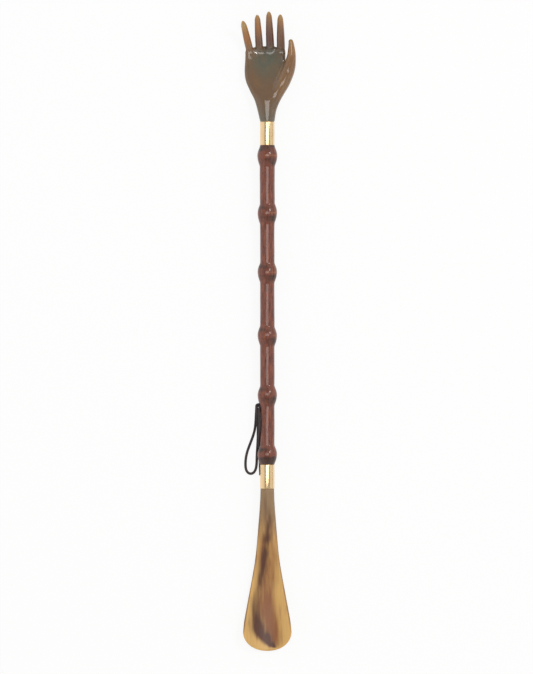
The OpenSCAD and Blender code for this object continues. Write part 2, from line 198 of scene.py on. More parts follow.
def outward(points, faces):
    """Turns all faces round if the volume that they enclose comes out negative."""
    volume = 0.0
    for group in faces:
        for k in range(1, group.shape[1] - 1):
            a, b, c = points[group[:, 0]], points[group[:, k]], points[group[:, k + 1]]
            volume += np.einsum("ij,ij->", a, np.cross(b, c))
    return [group[:, ::-1] for group in faces] if volume < 0 else faces


def capped_tube_faces(rings, sides):
    """Quads between neighbouring rings, and triangles from the end rings to a pole at each end, which
    are the two points after the rings."""
    side = np.arange(sides)
    following = (side + 1) % sides
    start = np.arange(rings - 1)[:, None] * sides
    quads = np.stack([start + side, start + following, start + sides + following, start + sides + side],
                     axis=-1).reshape(-1, 4)
    last = (rings - 1) * sides
    first_cap = np.stack([following, side, np.full(sides, rings * sides)], axis=-1)
    last_cap = np.stack([last + side, last + following, np.full(sides, rings * sides + 1)], axis=-1)
    return [quads, np.concatenate([first_cap, last_cap])]


def make_piece(name, points, faces, material, body, nodes=(), attributes=None):
    """Puts points in millimetres and faces into a mesh at the origin, and hangs the piece on its
    body."""
    faces = outward(points, faces)
    mesh = bpy.data.meshes.new(name)
    corners = np.concatenate([group.ravel() for group in faces])
    sizes = np.concatenate([np.full(len(group), group.shape[1]) for group in faces])
    starts = np.concatenate([[0], np.cumsum(sizes)[:-1]])
    mesh.vertices.add(len(points))
    mesh.vertices.foreach_set("co", (points * MM).ravel())
    mesh.loops.add(len(corners))
    mesh.loops.foreach_set("vertex_index", corners.astype(np.int32))
    mesh.polygons.add(len(sizes))
    mesh.polygons.foreach_set("loop_start", starts.astype(np.int32))
    mesh.polygons.foreach_set("use_smooth", np.ones(len(sizes), bool))
    mesh.update(calc_edges=True)
    if mesh.validate():
        raise RuntimeError(name + " has faces that Blender had to mend")
    for key, values in (attributes or {}).items():
        kind, field = ("FLOAT", "value") if values.ndim == 1 else ("FLOAT_VECTOR", "vector")
        attribute = mesh.attributes.new(key, kind, "POINT")
        attribute.data.foreach_set(field, values.astype(np.float32).ravel())
    mesh.materials.append(material)
    piece = bpy.data.objects.new(name, mesh)
    bpy.context.scene.collection.objects.link(piece)
    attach(piece, body)
    if nodes:
        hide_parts(*nodes)
    return piece


# Materials


def new_material(name):
    """An empty node material and its tree."""
    material = bpy.data.materials.new(name)
    material.use_nodes = True
    material.node_tree.nodes.clear()
    return material, material.node_tree


def add(tree, kind, inputs=None, stops=None, **settings):
    """Adds a node: its settings, the stops of its ramp, and its inputs by name or number, of which the
    sockets are linked and the values set."""
    made = tree.nodes.new(kind)
    for key, value in settings.items():
        setattr(made, key, value)
    for i, (place, colour) in enumerate(stops or []):
        elements = made.color_ramp.elements
        element = elements[i] if i < 2 else elements.new(place)
        element.position = place
        element.color = colour
    for key, value in (inputs or {}).items():
        if isinstance(value, bpy.types.NodeSocket):
            tree.links.new(value, made.inputs[key])
        else:
            made.inputs[key].default_value = value
    return made


WHITE = (1, 1, 1, 1)
# Sockets of a Mix node for colours, which share their names with those for other kinds of value
MIX_SHARE = 0
MIX_FIRST = 6
MIX_SECOND = 7
MIX_COLOUR = 2


def cell(*millimetres):
    """Scale of a pattern on Object coordinates, from the size of its cells along X, Y and Z."""
    return tuple(1 / (size * MM) for size in millimetres)


def polished_dark_horn(hand):
    """Buffalo horn, carved, scraped and buffed: clear amber where it is thin, clouded grey-brown where
    it is thick, with faint layers along its growth and a deep wet gloss."""
    material, tree = new_material("polished_dark_horn")
    place = add(tree, "ShaderNodeTexCoord").outputs["Object"]
    cloud_place = add(tree, "ShaderNodeMapping", {"Vector": place, "Scale": cell(9, 16, 9)})
    cloud = add(tree, "ShaderNodeTexNoise", {"Vector": cloud_place.outputs[0], "Scale": 1, "Detail": 3})
    layer_place = add(tree, "ShaderNodeMapping", {"Vector": place, "Scale": cell(1.4, 24, 1.4)})
    layer = add(tree, "ShaderNodeTexNoise", {"Vector": layer_place.outputs[0], "Scale": 1, "Detail": 2})
    colour = (*hand.palm_colour, 1)
    for key, tint in (("edge", hand.edge_colour), ("plum", hand.plum_colour),
                      ("amber", hand.amber_colour), ("gold", hand.gold_colour)):
        mask = add(tree, "ShaderNodeAttribute", attribute_name=key).outputs["Fac"]
        clouded = add(tree, "ShaderNodeMath", {0: cloud.outputs["Fac"], 1: 0.24, 2: mask},
                      operation="MULTIPLY_ADD")
        share = add(tree, "ShaderNodeMapRange",
                    {"Value": clouded.outputs[0], "From Min": 0.12, "From Max": 1.12})
        colour = add(tree, "ShaderNodeMix",
                     {MIX_SHARE: share.outputs[0], MIX_FIRST: colour, MIX_SECOND: (*tint, 1)},
                     data_type="RGBA").outputs[MIX_COLOUR]
    layered = add(tree, "ShaderNodeMapRange",
                  {"Value": layer.outputs["Fac"], "From Min": 0.35, "From Max": 0.7, "To Min": 0.0,
                   "To Max": 0.07})
    colour = add(tree, "ShaderNodeMix",
                 {MIX_SHARE: layered.outputs[0], MIX_FIRST: colour, MIX_SECOND: linear("#3a2c24")},
                 data_type="RGBA").outputs[MIX_COLOUR]
    rough = add(tree, "ShaderNodeMapRange",
                {"Value": cloud.outputs["Fac"], "To Min": 0.06, "To Max": 0.12})
    bump = add(tree, "ShaderNodeBump", {"Height": layer.outputs["Fac"], "Strength": 0.08,
                                        "Distance": 0.2 * MM})
    shader = add(tree, "ShaderNodeBsdfPrincipled",
                 {"Base Color": colour, "Roughness": rough.outputs[0], "IOR": 1.54,
                  "Normal": bump.outputs[0], "Subsurface Weight": 0.25,
                  "Subsurface Radius": (1.0, 0.5, 0.22), "Subsurface Scale": 3 * MM})
    add(tree, "ShaderNodeOutputMaterial", {"Surface": shader.outputs[0]})
    return material


def polished_pale_horn(blade):
    """Ox horn, pressed flat, scraped and buffed: clear honey with a dark streak and a brown cloud that
    ran along the horn, and a soft gloss; painted shade darkens the rim where the edge rounds away."""
    material, tree = new_material("polished_pale_horn")
    place = add(tree, "ShaderNodeTexCoord").outputs["Object"]
    wisp_place = add(tree, "ShaderNodeMapping", {"Vector": place, "Scale": cell(3, 26, 6)})
    wisp = add(tree, "ShaderNodeTexNoise", {"Vector": wisp_place.outputs[0], "Scale": 1, "Detail": 4})
    layer_place = add(tree, "ShaderNodeMapping", {"Vector": place, "Scale": cell(1.2, 40, 2)})
    layer = add(tree, "ShaderNodeTexNoise", {"Vector": layer_place.outputs[0], "Scale": 1, "Detail": 2})
    light = add(tree, "ShaderNodeMix",
                {MIX_SHARE: wisp.outputs["Fac"],
                 MIX_FIRST: linear("#c99a57"), MIX_SECOND: linear("#e7c07e")},
                data_type="RGBA").outputs[MIX_COLOUR]
    colour = add(tree, "ShaderNodeMix",
                 {MIX_SHARE: 0.45, MIX_FIRST: (*blade.honey_colour, 1), MIX_SECOND: light},
                 data_type="RGBA").outputs[MIX_COLOUR]
    # The rim mask is painted shade along the blade's edge
    for key, tint in (("olive", blade.olive_colour), ("brown", blade.brown_colour),
                      ("streak", blade.dark_colour), ("rim", blade.rim_shade_colour)):
        mask = add(tree, "ShaderNodeAttribute", attribute_name=key).outputs["Fac"]
        wispy = add(tree, "ShaderNodeMath", {0: wisp.outputs["Fac"], 1: 0.6, 2: mask},
                    operation="MULTIPLY_ADD")
        share = add(tree, "ShaderNodeMapRange",
                    {"Value": wispy.outputs[0], "From Min": 0.3, "From Max": 1.1},
                    interpolation_type="SMOOTHSTEP")
        colour = add(tree, "ShaderNodeMix",
                     {MIX_SHARE: share.outputs[0], MIX_FIRST: colour, MIX_SECOND: (*tint, 1)},
                     data_type="RGBA").outputs[MIX_COLOUR]
    layered = add(tree, "ShaderNodeMapRange",
                  {"Value": layer.outputs["Fac"], "From Min": 0.4, "From Max": 0.75, "To Max": 0.12})
    colour = add(tree, "ShaderNodeMix",
                 {MIX_SHARE: layered.outputs[0], MIX_FIRST: colour, MIX_SECOND: linear("#6a4a2c")},
                 data_type="RGBA").outputs[MIX_COLOUR]
    rough = add(tree, "ShaderNodeMapRange",
                {"Value": wisp.outputs["Fac"], "To Min": 0.34, "To Max": 0.46})
    bump = add(tree, "ShaderNodeBump", {"Height": layer.outputs["Fac"], "Strength": 0.06,
                                        "Distance": 0.2 * MM})
    shader = add(tree, "ShaderNodeBsdfPrincipled",
                 {"Base Color": colour, "Roughness": rough.outputs[0], "IOR": 1.54,
                  "Normal": bump.outputs[0], "Specular IOR Level": 0.4, "Subsurface Weight": 0.2,
                  "Subsurface Radius": (1.0, 0.6, 0.25), "Subsurface Scale": 2 * MM})
    add(tree, "ShaderNodeOutputMaterial", {"Surface": shader.outputs[0]})
    return material


def lacquered_stained_wood(shaft):
    """Close-grained hardwood, turned and carved as bamboo, stained red-brown, with darker patches on the
    flanks, rubbed on the ridges and lacquered: fine broken grain under an uneven gloss. Painted into the
    colour are a highlight along the ridges and shade under the ridges, below the last one and at the
    top."""
    material, tree = new_material("lacquered_stained_wood")
    place = add(tree, "ShaderNodeTexCoord").outputs["Object"]
    grain_place = add(tree, "ShaderNodeMapping", {"Vector": place, "Scale": cell(1.6, 11, 1.6)})
    grain = add(tree, "ShaderNodeTexNoise", {"Vector": grain_place.outputs[0], "Scale": 1, "Detail": 5,
                                             "Roughness": 0.62})
    # Pores are drawn about twice as wide as real ones, so that they show
    pore_place = add(tree, "ShaderNodeMapping", {"Vector": place, "Scale": cell(0.7, 3.2, 0.7)})
    pore = add(tree, "ShaderNodeTexNoise", {"Vector": pore_place.outputs[0], "Scale": 1, "Detail": 2})
    patch_place = add(tree, "ShaderNodeMapping", {"Vector": place, "Scale": cell(7, 9, 7)})
    patch = add(tree, "ShaderNodeTexNoise", {"Vector": patch_place.outputs[0], "Scale": 1, "Detail": 3})
    light = add(tree, "ShaderNodeMapRange",
                {"Value": grain.outputs["Fac"], "From Min": 0.35, "From Max": 0.7})
    colour = add(tree, "ShaderNodeMix",
                 {MIX_SHARE: light.outputs[0],
                  MIX_FIRST: (*shaft.stain_colour, 1), MIX_SECOND: (*shaft.light_colour, 1)},
                 data_type="RGBA").outputs[MIX_COLOUR]
    pores = add(tree, "ShaderNodeMapRange",
                {"Value": pore.outputs["Fac"], "From Min": 0.56, "From Max": 0.72, "To Max": 0.55})
    colour = add(tree, "ShaderNodeMix",
                 {MIX_SHARE: pores.outputs[0], MIX_FIRST: colour, MIX_SECOND: linear("#3c2420")},
                 data_type="RGBA").outputs[MIX_COLOUR]
    # The first mask is rubbed ridges with a painted highlight; the second is darker flank patches and
    # painted shade
    for key, tint, gain in (("wear_and_highlight", shaft.wear_and_highlight_colour, 0.75), ("dark_and_shade", shaft.dark_colour, 0.85)):
        mask = add(tree, "ShaderNodeAttribute", attribute_name=key).outputs["Fac"]
        patchy = add(tree, "ShaderNodeMath", {0: patch.outputs["Fac"], 1: mask}, operation="MULTIPLY")
        share = add(tree, "ShaderNodeMapRange",
                    {"Value": patchy.outputs[0], "From Min": 0.12, "From Max": 0.6, "To Max": gain})
        colour = add(tree, "ShaderNodeMix",
                     {MIX_SHARE: share.outputs[0], MIX_FIRST: colour, MIX_SECOND: (*tint, 1)},
                     data_type="RGBA").outputs[MIX_COLOUR]
    rough = add(tree, "ShaderNodeMapRange",
                {"Value": patch.outputs["Fac"], "To Min": 0.14, "To Max": 0.26})
    height = add(tree, "ShaderNodeMath", {0: pore.outputs["Fac"], 1: -0.5, 2: grain.outputs["Fac"]},
                 operation="MULTIPLY_ADD")
    bump = add(tree, "ShaderNodeBump", {"Height": height.outputs[0], "Strength": 0.25,
                                        "Distance": 0.3 * MM})
    shader = add(tree, "ShaderNodeBsdfPrincipled",
                 {"Base Color": colour, "Roughness": rough.outputs[0], "IOR": 1.5,
                  "Normal": bump.outputs[0], "Specular IOR Level": 0.34,
                  "Coat Weight": 0.18, "Coat Roughness": 0.1})
    add(tree, "ShaderNodeOutputMaterial", {"Surface": shader.outputs[0]})
    return material


def polished_brass(collar):
    """Drawn brass tube, cut, chamfered and polished along its length: pale gold with mirror bands and
    fine lines along the tube."""
    material, tree = new_material("polished_brass")
    place = add(tree, "ShaderNodeTexCoord").outputs["Object"]
    line_place = add(tree, "ShaderNodeMapping", {"Vector": place, "Scale": cell(0.25, 30, 0.25)})
    line = add(tree, "ShaderNodeTexNoise", {"Vector": line_place.outputs[0], "Scale": 1, "Detail": 2})
    cloud_place = add(tree, "ShaderNodeMapping", {"Vector": place, "Scale": cell(5, 8, 5)})
    cloud = add(tree, "ShaderNodeTexNoise", {"Vector": cloud_place.outputs[0], "Scale": 1, "Detail": 2})
    dull = add(tree, "ShaderNodeMapRange",
               {"Value": cloud.outputs["Fac"], "From Min": 0.4, "From Max": 0.8, "To Max": 0.35})
    colour = add(tree, "ShaderNodeMix",
                 {MIX_SHARE: dull.outputs[0],
                  MIX_FIRST: (*collar.brass_colour, 1), MIX_SECOND: linear("#e2b67e")},
                 data_type="RGBA").outputs[MIX_COLOUR]
    rough = add(tree, "ShaderNodeMapRange",
                {"Value": line.outputs["Fac"], "To Min": 0.18, "To Max": 0.26})
    shader = add(tree, "ShaderNodeBsdfPrincipled",
                 {"Base Color": colour, "Metallic": 1.0, "Roughness": rough.outputs[0]})
    add(tree, "ShaderNodeOutputMaterial", {"Surface": shader.outputs[0]})
    return material


def waxed_leather(lace):
    """Round leather lace, cut, dyed through and waxed: nearly black, with fine grain, and browner where
    it has been handled."""
    material, tree = new_material("waxed_leather_lace")
    place = add(tree, "ShaderNodeAttribute", attribute_name="lace_place").outputs["Vector"]
    # Grain is drawn about twice as coarse as real grain, so that it shows
    grain = add(tree, "ShaderNodeTexVoronoi", {"Vector": place, "Scale": 1 / 0.6})
    rub_place = add(tree, "ShaderNodeMapping", {"Vector": place, "Scale": (0.5, 0.5, 0.12)})
    rub = add(tree, "ShaderNodeTexNoise", {"Vector": rub_place.outputs[0], "Scale": 1, "Detail": 3})
    share = add(tree, "ShaderNodeMapRange",
                {"Value": rub.outputs["Fac"], "From Min": 0.4, "From Max": 0.75, "To Max": 0.7})
    colour = add(tree, "ShaderNodeMix",
                 {MIX_SHARE: share.outputs[0],
                  MIX_FIRST: (*lace.leather_colour, 1), MIX_SECOND: (*lace.rubbed_colour, 1)},
                 data_type="RGBA").outputs[MIX_COLOUR]
    rough = add(tree, "ShaderNodeMapRange", {"Value": rub.outputs["Fac"], "To Min": 0.4, "To Max": 0.6})
    bump = add(tree, "ShaderNodeBump", {"Height": grain.outputs["Distance"], "Strength": 0.3,
                                        "Distance": 0.3 * MM})
    shader = add(tree, "ShaderNodeBsdfPrincipled",
                 {"Base Color": colour, "Roughness": rough.outputs[0], "IOR": 1.5,
                  "Normal": bump.outputs[0], "Specular IOR Level": 0.2})
    add(tree, "ShaderNodeOutputMaterial", {"Surface": shader.outputs[0]})
    return material


def plain_steel():
    """Mild steel rod, sawn and left as drawn: grey with lines along the rod. It is hidden in the
    joints."""
    material, tree = new_material("drawn_steel_rod")
    place = add(tree, "ShaderNodeTexCoord").outputs["Object"]
    line_place = add(tree, "ShaderNodeMapping", {"Vector": place, "Scale": cell(0.3, 12, 0.3)})
    line = add(tree, "ShaderNodeTexNoise", {"Vector": line_place.outputs[0], "Scale": 1, "Detail": 2})
    colour = add(tree, "ShaderNodeMix",
                 {MIX_SHARE: line.outputs["Fac"],
                  MIX_FIRST: linear("#9a9da0"), MIX_SECOND: linear("#b6b9bc")},
                 data_type="RGBA").outputs[MIX_COLOUR]
    rough = add(tree, "ShaderNodeMapRange",
                {"Value": line.outputs["Fac"], "To Min": 0.3, "To Max": 0.5})
    shader = add(tree, "ShaderNodeBsdfPrincipled",
                 {"Base Color": colour, "Metallic": 1.0, "Roughness": rough.outputs[0]})
    add(tree, "ShaderNodeOutputMaterial", {"Surface": shader.outputs[0]})
    return material


# Lace


# Points along the middle of the lace, from the hole; on the table they lie a little over its radius up
LOOP_ROUTE = [
    (-10.8, -74.4, 8.8), (-10.3, -78, 8.3), (-9.9, -84, 7.4), (-9.6, -90, 6.2), (-9.4, -96, 5),
    (-9.4, -102, 3.8), (-9.5, -108, 2.7), (-9.8, -114, 1.8), (-10.2, -120, 1.35),
    (-10.5, -126, 1.35), (-10.6, -130.5, 1.35), (-10.9, -134.5, 1.35), (-11.4, -137.2, 1.35),
    (-12.4, -139.8, 1.35), (-14.1, -141.8, 1.35), (-16.4, -142.6, 1.35), (-18.8, -141.9, 1.35),
    (-20.6, -139.9, 1.35), (-21.5, -137.3, 1.35), (-21.8, -134, 1.35), (-21.7, -129.5, 1.35),
    (-21, -124.5, 1.35), (-19.7, -119.5, 1.35), (-17.9, -114.5, 1.35), (-16, -109.5, 1.35),
    (-14.2, -104.5, 1.5), (-12.8, -99.5, 2.1), (-12, -94.5, 3.1), (-11.6, -89.5, 4.1),
    (-11.3, -84, 5.1), (-11, -78.5, 5.8), (-10.8, -74.4, 6.2),
]
ROOT_ROUTES = [
    [(2.5, -73.15, 8.8), (-8.4, -73.2, 8.8), (-10, -73.35, 8.8), (-10.7, -73.85, 8.8),
     (-10.8, -74.4, 8.8)],
    [(2.5, -75.65, 8.8), (-7.2, -75.4, 8.5), (-9.2, -74.3, 7.5), (-10.4, -73.6, 6.6),
     (-10.8, -74.4, 6.2)],
]
TAIL_ROUTE = [
    (2.5, -74.4, 10.9), (-0.5, -74.2, 10.9), (-3.2, -74.1, 10.9), (-5.1, -74.4, 11),
    (-6.8, -75.4, 11.3), (-7.9, -77, 11.9), (-8.3, -79, 12.5), (-8.2, -83, 13.2), (-7.9, -87, 13.5),
    (-7.7, -91, 13.5), (-7.6, -95, 13.2), (-7.7, -99, 12.4), (-8.1, -103, 11), (-8.3, -107, 9),
    (-8.2, -111, 6.7), (-7.9, -115, 4.4), (-7.7, -119, 2.6), (-7.6, -123.5, 1.5), (-7.5, -128, 1.35),
    (-7.3, -133.5, 1.35), (-7.1, -139, 1.35), (-6.9, -144, 1.35),
]
LACE_SIDES = 20
LACE_STEP = 0.4
LACE_BLUR = 1.2
# Lengths over which the ends are rounded, and the rings there
TAIL_NOSE = 0.35
ROOT_NOSE = 0.3
NOSE_RINGS = 5


def blurred(rows, step, width):
    """Each row becomes the mean of those near it, weighed by a bell of that width. The ends stay in
    place, because the rows are carried on past them turned half round."""
    reach = int(3 * width / step)
    weights = bell(np.arange(-reach, reach + 1) * step, width)
    lead = 2 * rows[:1] - rows[reach:0:-1]
    trail = 2 * rows[-1:] - rows[-2:-reach - 2:-1]
    padded = np.concatenate([lead, rows, trail])
    near = np.arange(len(rows))[:, None] + np.arange(2 * reach + 1)
    return np.einsum("k,ik...->i...", weights / weights.sum(), padded[near])


def smooth_route(route):
    """Points every LACE_STEP along a smooth curve through the route, which is taken by its chords, with
    its bends evened out by a blur along it."""
    points = np.asarray(route, float)
    chord = np.concatenate([[0], np.cumsum(np.linalg.norm(np.diff(points, axis=0), axis=1))])
    count = int(chord[-1] / LACE_STEP) + 1
    path = smooth_rows(np.column_stack([chord, points]), np.linspace(0, chord[-1], count)).T
    return blurred(path, LACE_STEP, LACE_BLUR)


def lace_tube(path, radius, nose):
    """A circle carried along a path, square to it: the side vector is the heading crossed with Z. The
    ends are rounded over the length nose, as a quarter of an ellipse."""
    along = np.concatenate([[0], np.cumsum(np.linalg.norm(np.diff(path, axis=0), axis=1))])
    heading = np.gradient(path, along, axis=0)
    heading /= np.linalg.norm(heading, axis=1, keepdims=True)
    side = np.cross(heading, (0, 0, 1))
    side /= np.linalg.norm(side, axis=1, keepdims=True)
    up = np.cross(side, heading)
    turn = np.linspace(math.pi / 2, 0, NOSE_RINGS + 2)[1:-1]
    lead = path[0] - heading[0] * nose * np.sin(turn)[:, None]
    trail = path[-1] + heading[-1] * nose * np.sin(turn[::-1])[:, None]
    centre = np.concatenate([lead, path, trail])
    girth = radius * np.concatenate([np.cos(turn), np.ones(len(path)), np.cos(turn[::-1])])
    padding = ((NOSE_RINGS, NOSE_RINGS), (0, 0))
    side = np.pad(side, padding, mode="edge")
    up = np.pad(up, padding, mode="edge")
    angle = 2 * math.pi * np.arange(LACE_SIDES) / LACE_SIDES
    ring = np.cos(angle)[:, None] * side[:, None] + np.sin(angle)[:, None] * up[:, None]
    points = (centre[:, None] + girth[:, None, None] * ring).reshape(-1, 3)
    poles = np.stack([path[0] - heading[0] * nose, path[-1] + heading[-1] * nose])
    reach = np.pad(along, NOSE_RINGS, mode="edge")
    place = np.stack(np.broadcast_arrays(girth[:, None] * np.cos(angle), girth[:, None] * np.sin(angle),
                                         reach[:, None]), axis=-1).reshape(-1, 3)
    place = np.concatenate([place, [[0, 0, 0], [0, 0, along[-1]]]])
    return np.concatenate([points, poles]), capped_tube_faces(len(centre), LACE_SIDES), place


class LaceOperator(bpy.types.Operator):
    """Adds the leather lace: the loop, its two ends in the hole and the tail"""

    bl_idname = "back_scratcher.add_lace"
    bl_label = "Add lace"

    def execute(self, context):
        lace = context.scene.scratcher_lace
        leather = waxed_leather(lace)
        radius = lace.diameter / MM / 2
        for name, route, body, far_end, nose in (
                ("lace_loop_cord", LOOP_ROUTE, "hanging_loop", "object", radius),
                ("lace_tail_cord", TAIL_ROUTE, "handle", "bare", TAIL_NOSE)):
            path = smooth_route(route)
            points, faces, place = lace_tube(path, radius, nose)
            node = name.replace("_cord", "")
            piece = make_piece(name, points, faces, leather, body, [node],
                               {"lace_place": place})
        upper, lower = (lace_tube(smooth_route(route), radius, ROOT_NOSE) for route in ROOT_ROUTES)
        points, place = (np.concatenate([upper[k], lower[k]]) for k in (0, 2))
        faces = [np.concatenate([first, second + len(upper[0])])
                 for first, second in zip(upper[1], lower[1])]
        make_piece("lace_ends", points, faces, leather, "handle", ["lace_root"],
                   {"lace_place": place})
        return {"FINISHED"}


# Shaft


FIRST_NODE = 9.5
LAST_NODE = 10
# The flanks are carved rounder and shorter than the plain solid's
NODE_UPPER = 9
NODE_LOWER = 10.5
NODE_OFFSETS = np.array([-1.2, 1.5, 2.6, -0.9, -0.5, 0])
FLANK_CLEAR = 0.01
RIDGE_LEAN = 0.45
RIDGE_TURN = 1.7
RIDGE_ROUND = 1.0
GROOVE_BELOW = 2.4
GROOVE_W = 0.8
GROOVE_DEPTH = 0.1
# The shaft is a little thicker above the second ridge
TOP_THICKER = 0.3
TOP_FADE = 8
# Slow waves of the carving: an oval that comes and goes along the shaft, and a rounded triangle
OVAL_DEPTH = 0.07
OVAL_LENGTH = 5.3
OVAL_TWIST = 17
TRIANGLE_DEPTH = 0.05
TRIANGLE_TWIST = 9
END_ROUND = 0.6
END_INSET = 0.4
LACE_HOLE_UP = 59.1
LACE_HOLE_PAST = 3
LACE_HOLE_FROM = -12
LACE_HOLE_SIDES = 40
SHAFT_SIDES = 88
SHAFT_STEP = 0.7
# Rubbed ridges with a painted highlight along them: height over the ridge, width, and the side that is
# rubbed and lit most
WEAR_AND_HIGHLIGHT_UP = 0.2
WEAR_AND_HIGHLIGHT_W = 1.0
WEAR_AND_HIGHLIGHT_SIDE = 0.5
WEAR_AND_HIGHLIGHT_TURN = 0.4
# Darker patches on the flanks, as shares of a flank: place, width above and below the ridge, mean and
# swing
FLANK_DARK_PLACE = 0.62
FLANK_DARK_UPPER_W = 0.3
FLANK_DARK_LOWER_W = 0.42
FLANK_DARK_MEAN = 0.64
FLANK_DARK_SWING = 0.56
# Painted shade under the groove, under the last ridge, where it arches, and at the top of the shaft
GROOVE_SHADE = 0.3
GROOVE_SHADE_BELOW = 3.4
GROOVE_SHADE_W = 1.2
FOOT_SHADE = 0.72
FOOT_BELOW = 0.3
FOOT_ARCH = 1.6
FOOT_FADE = 3.5
HEAD_SHADE = 0.9
HEAD_FROM = 5
HEAD_FADE = 4


def node_places():
    """Places of the swellings, evenly spaced apart from the carver's own departures."""
    pitch = (SHAFT_LEN - FIRST_NODE - LAST_NODE) / (len(NODE_OFFSETS) - 1)
    return SHAFT_TOP - FIRST_NODE - pitch * np.arange(len(NODE_OFFSETS)) + NODE_OFFSETS


def shaft_surface(radius, swelling_radius):
    """Surface of revolution about the axis. Round each ridge the radius rises as a quarter of a cosine
    wave above and below, with a fine groove under the ridge, all blurred along the axis so that the
    creases are soft. The ridges lean a little, and slow waves stand for the carving. Also gives how
    rubbed a place is, with a painted highlight along the ridges, and how dark: darker patches on the
    flanks, and painted shade under the ridges, below the last ridge and at the top of the shaft."""
    nodes = node_places()
    y = np.linspace(SHAFT_TOP, SHAFT_BOTTOM, int(SHAFT_LEN / SHAFT_STEP))
    angle = 2 * math.pi * np.arange(SHAFT_SIDES) / SHAFT_SIDES
    swelling, groove, wear_and_highlight, dark_and_shade = np.zeros((4, len(y), SHAFT_SIDES))
    for k, node_y in enumerate(nodes):
        upper = min(NODE_UPPER, SHAFT_TOP - node_y - FLANK_CLEAR)
        lower = min(NODE_LOWER, node_y - SHAFT_BOTTOM - FLANK_CLEAR)
        lean = RIDGE_LEAN * np.sin(angle + RIDGE_TURN * k) * ease(min(upper, lower) / NODE_LOWER)
        below = node_y + lean[None] - y[:, None]
        reach = np.where(below < 0, -below / upper, below / lower)
        swelling += np.cos(math.pi / 2 * np.minimum(reach, 1))
        groove += bell(below - GROOVE_BELOW, GROOVE_W)
        # Rubbed ridges, with a painted highlight just above each ridge, mostly on the right
        wear_and_highlight += bell(below + WEAR_AND_HIGHLIGHT_UP, WEAR_AND_HIGHLIGHT_W) * (1 + np.cos(angle - WEAR_AND_HIGHLIGHT_SIDE + WEAR_AND_HIGHLIGHT_TURN * k))[None] / 2
        left_right = np.where(below < 0, -np.cos(angle)[None], np.cos(angle)[None])
        spread = np.where(below < 0, FLANK_DARK_UPPER_W, FLANK_DARK_LOWER_W)
        # Darker patches on the flanks: the upper flank is darker on the left, the lower flank on the
        # right
        dark_and_shade += bell(reach - FLANK_DARK_PLACE, spread) * (FLANK_DARK_MEAN + FLANK_DARK_SWING * left_right)
        # Painted shade in a line under the groove
        dark_and_shade += GROOVE_SHADE * bell(below - GROOVE_SHADE_BELOW, GROOVE_SHADE_W)
    # Painted shade below the last ridge, arching down to the lower collar
    foot = nodes[-1] - FOOT_BELOW - FOOT_ARCH * (1 - np.sin(angle))
    dark_and_shade += FOOT_SHADE * ease((foot[None] - y[:, None]) / FOOT_FADE)
    # Painted shade at the top of the shaft, under the upper collar
    dark_and_shade += HEAD_SHADE * ease((y - SHAFT_TOP + HEAD_FROM) / HEAD_FADE)[:, None]
    carving = (swelling_radius - radius) * swelling - GROOVE_DEPTH * groove
    girth = radius + TOP_THICKER * ease((y - nodes[1]) / TOP_FADE)[:, None]
    girth = girth + blurred(carving, SHAFT_STEP, RIDGE_ROUND)
    oval = np.sin(y / OVAL_LENGTH)[:, None] * np.cos(2 * angle + y[:, None] / OVAL_TWIST)
    triangle = np.sin(3 * angle + y[:, None] / TRIANGLE_TWIST)
    girth += (1 - swelling) * (OVAL_DEPTH * oval + TRIANGLE_DEPTH * triangle)
    edge = ease((SHAFT_TOP - y) / END_ROUND) * ease((y - SHAFT_BOTTOM) / END_ROUND)
    girth += END_INSET * (edge[:, None] - 1)
    return y, angle, girth, wear_and_highlight, dark_and_shade


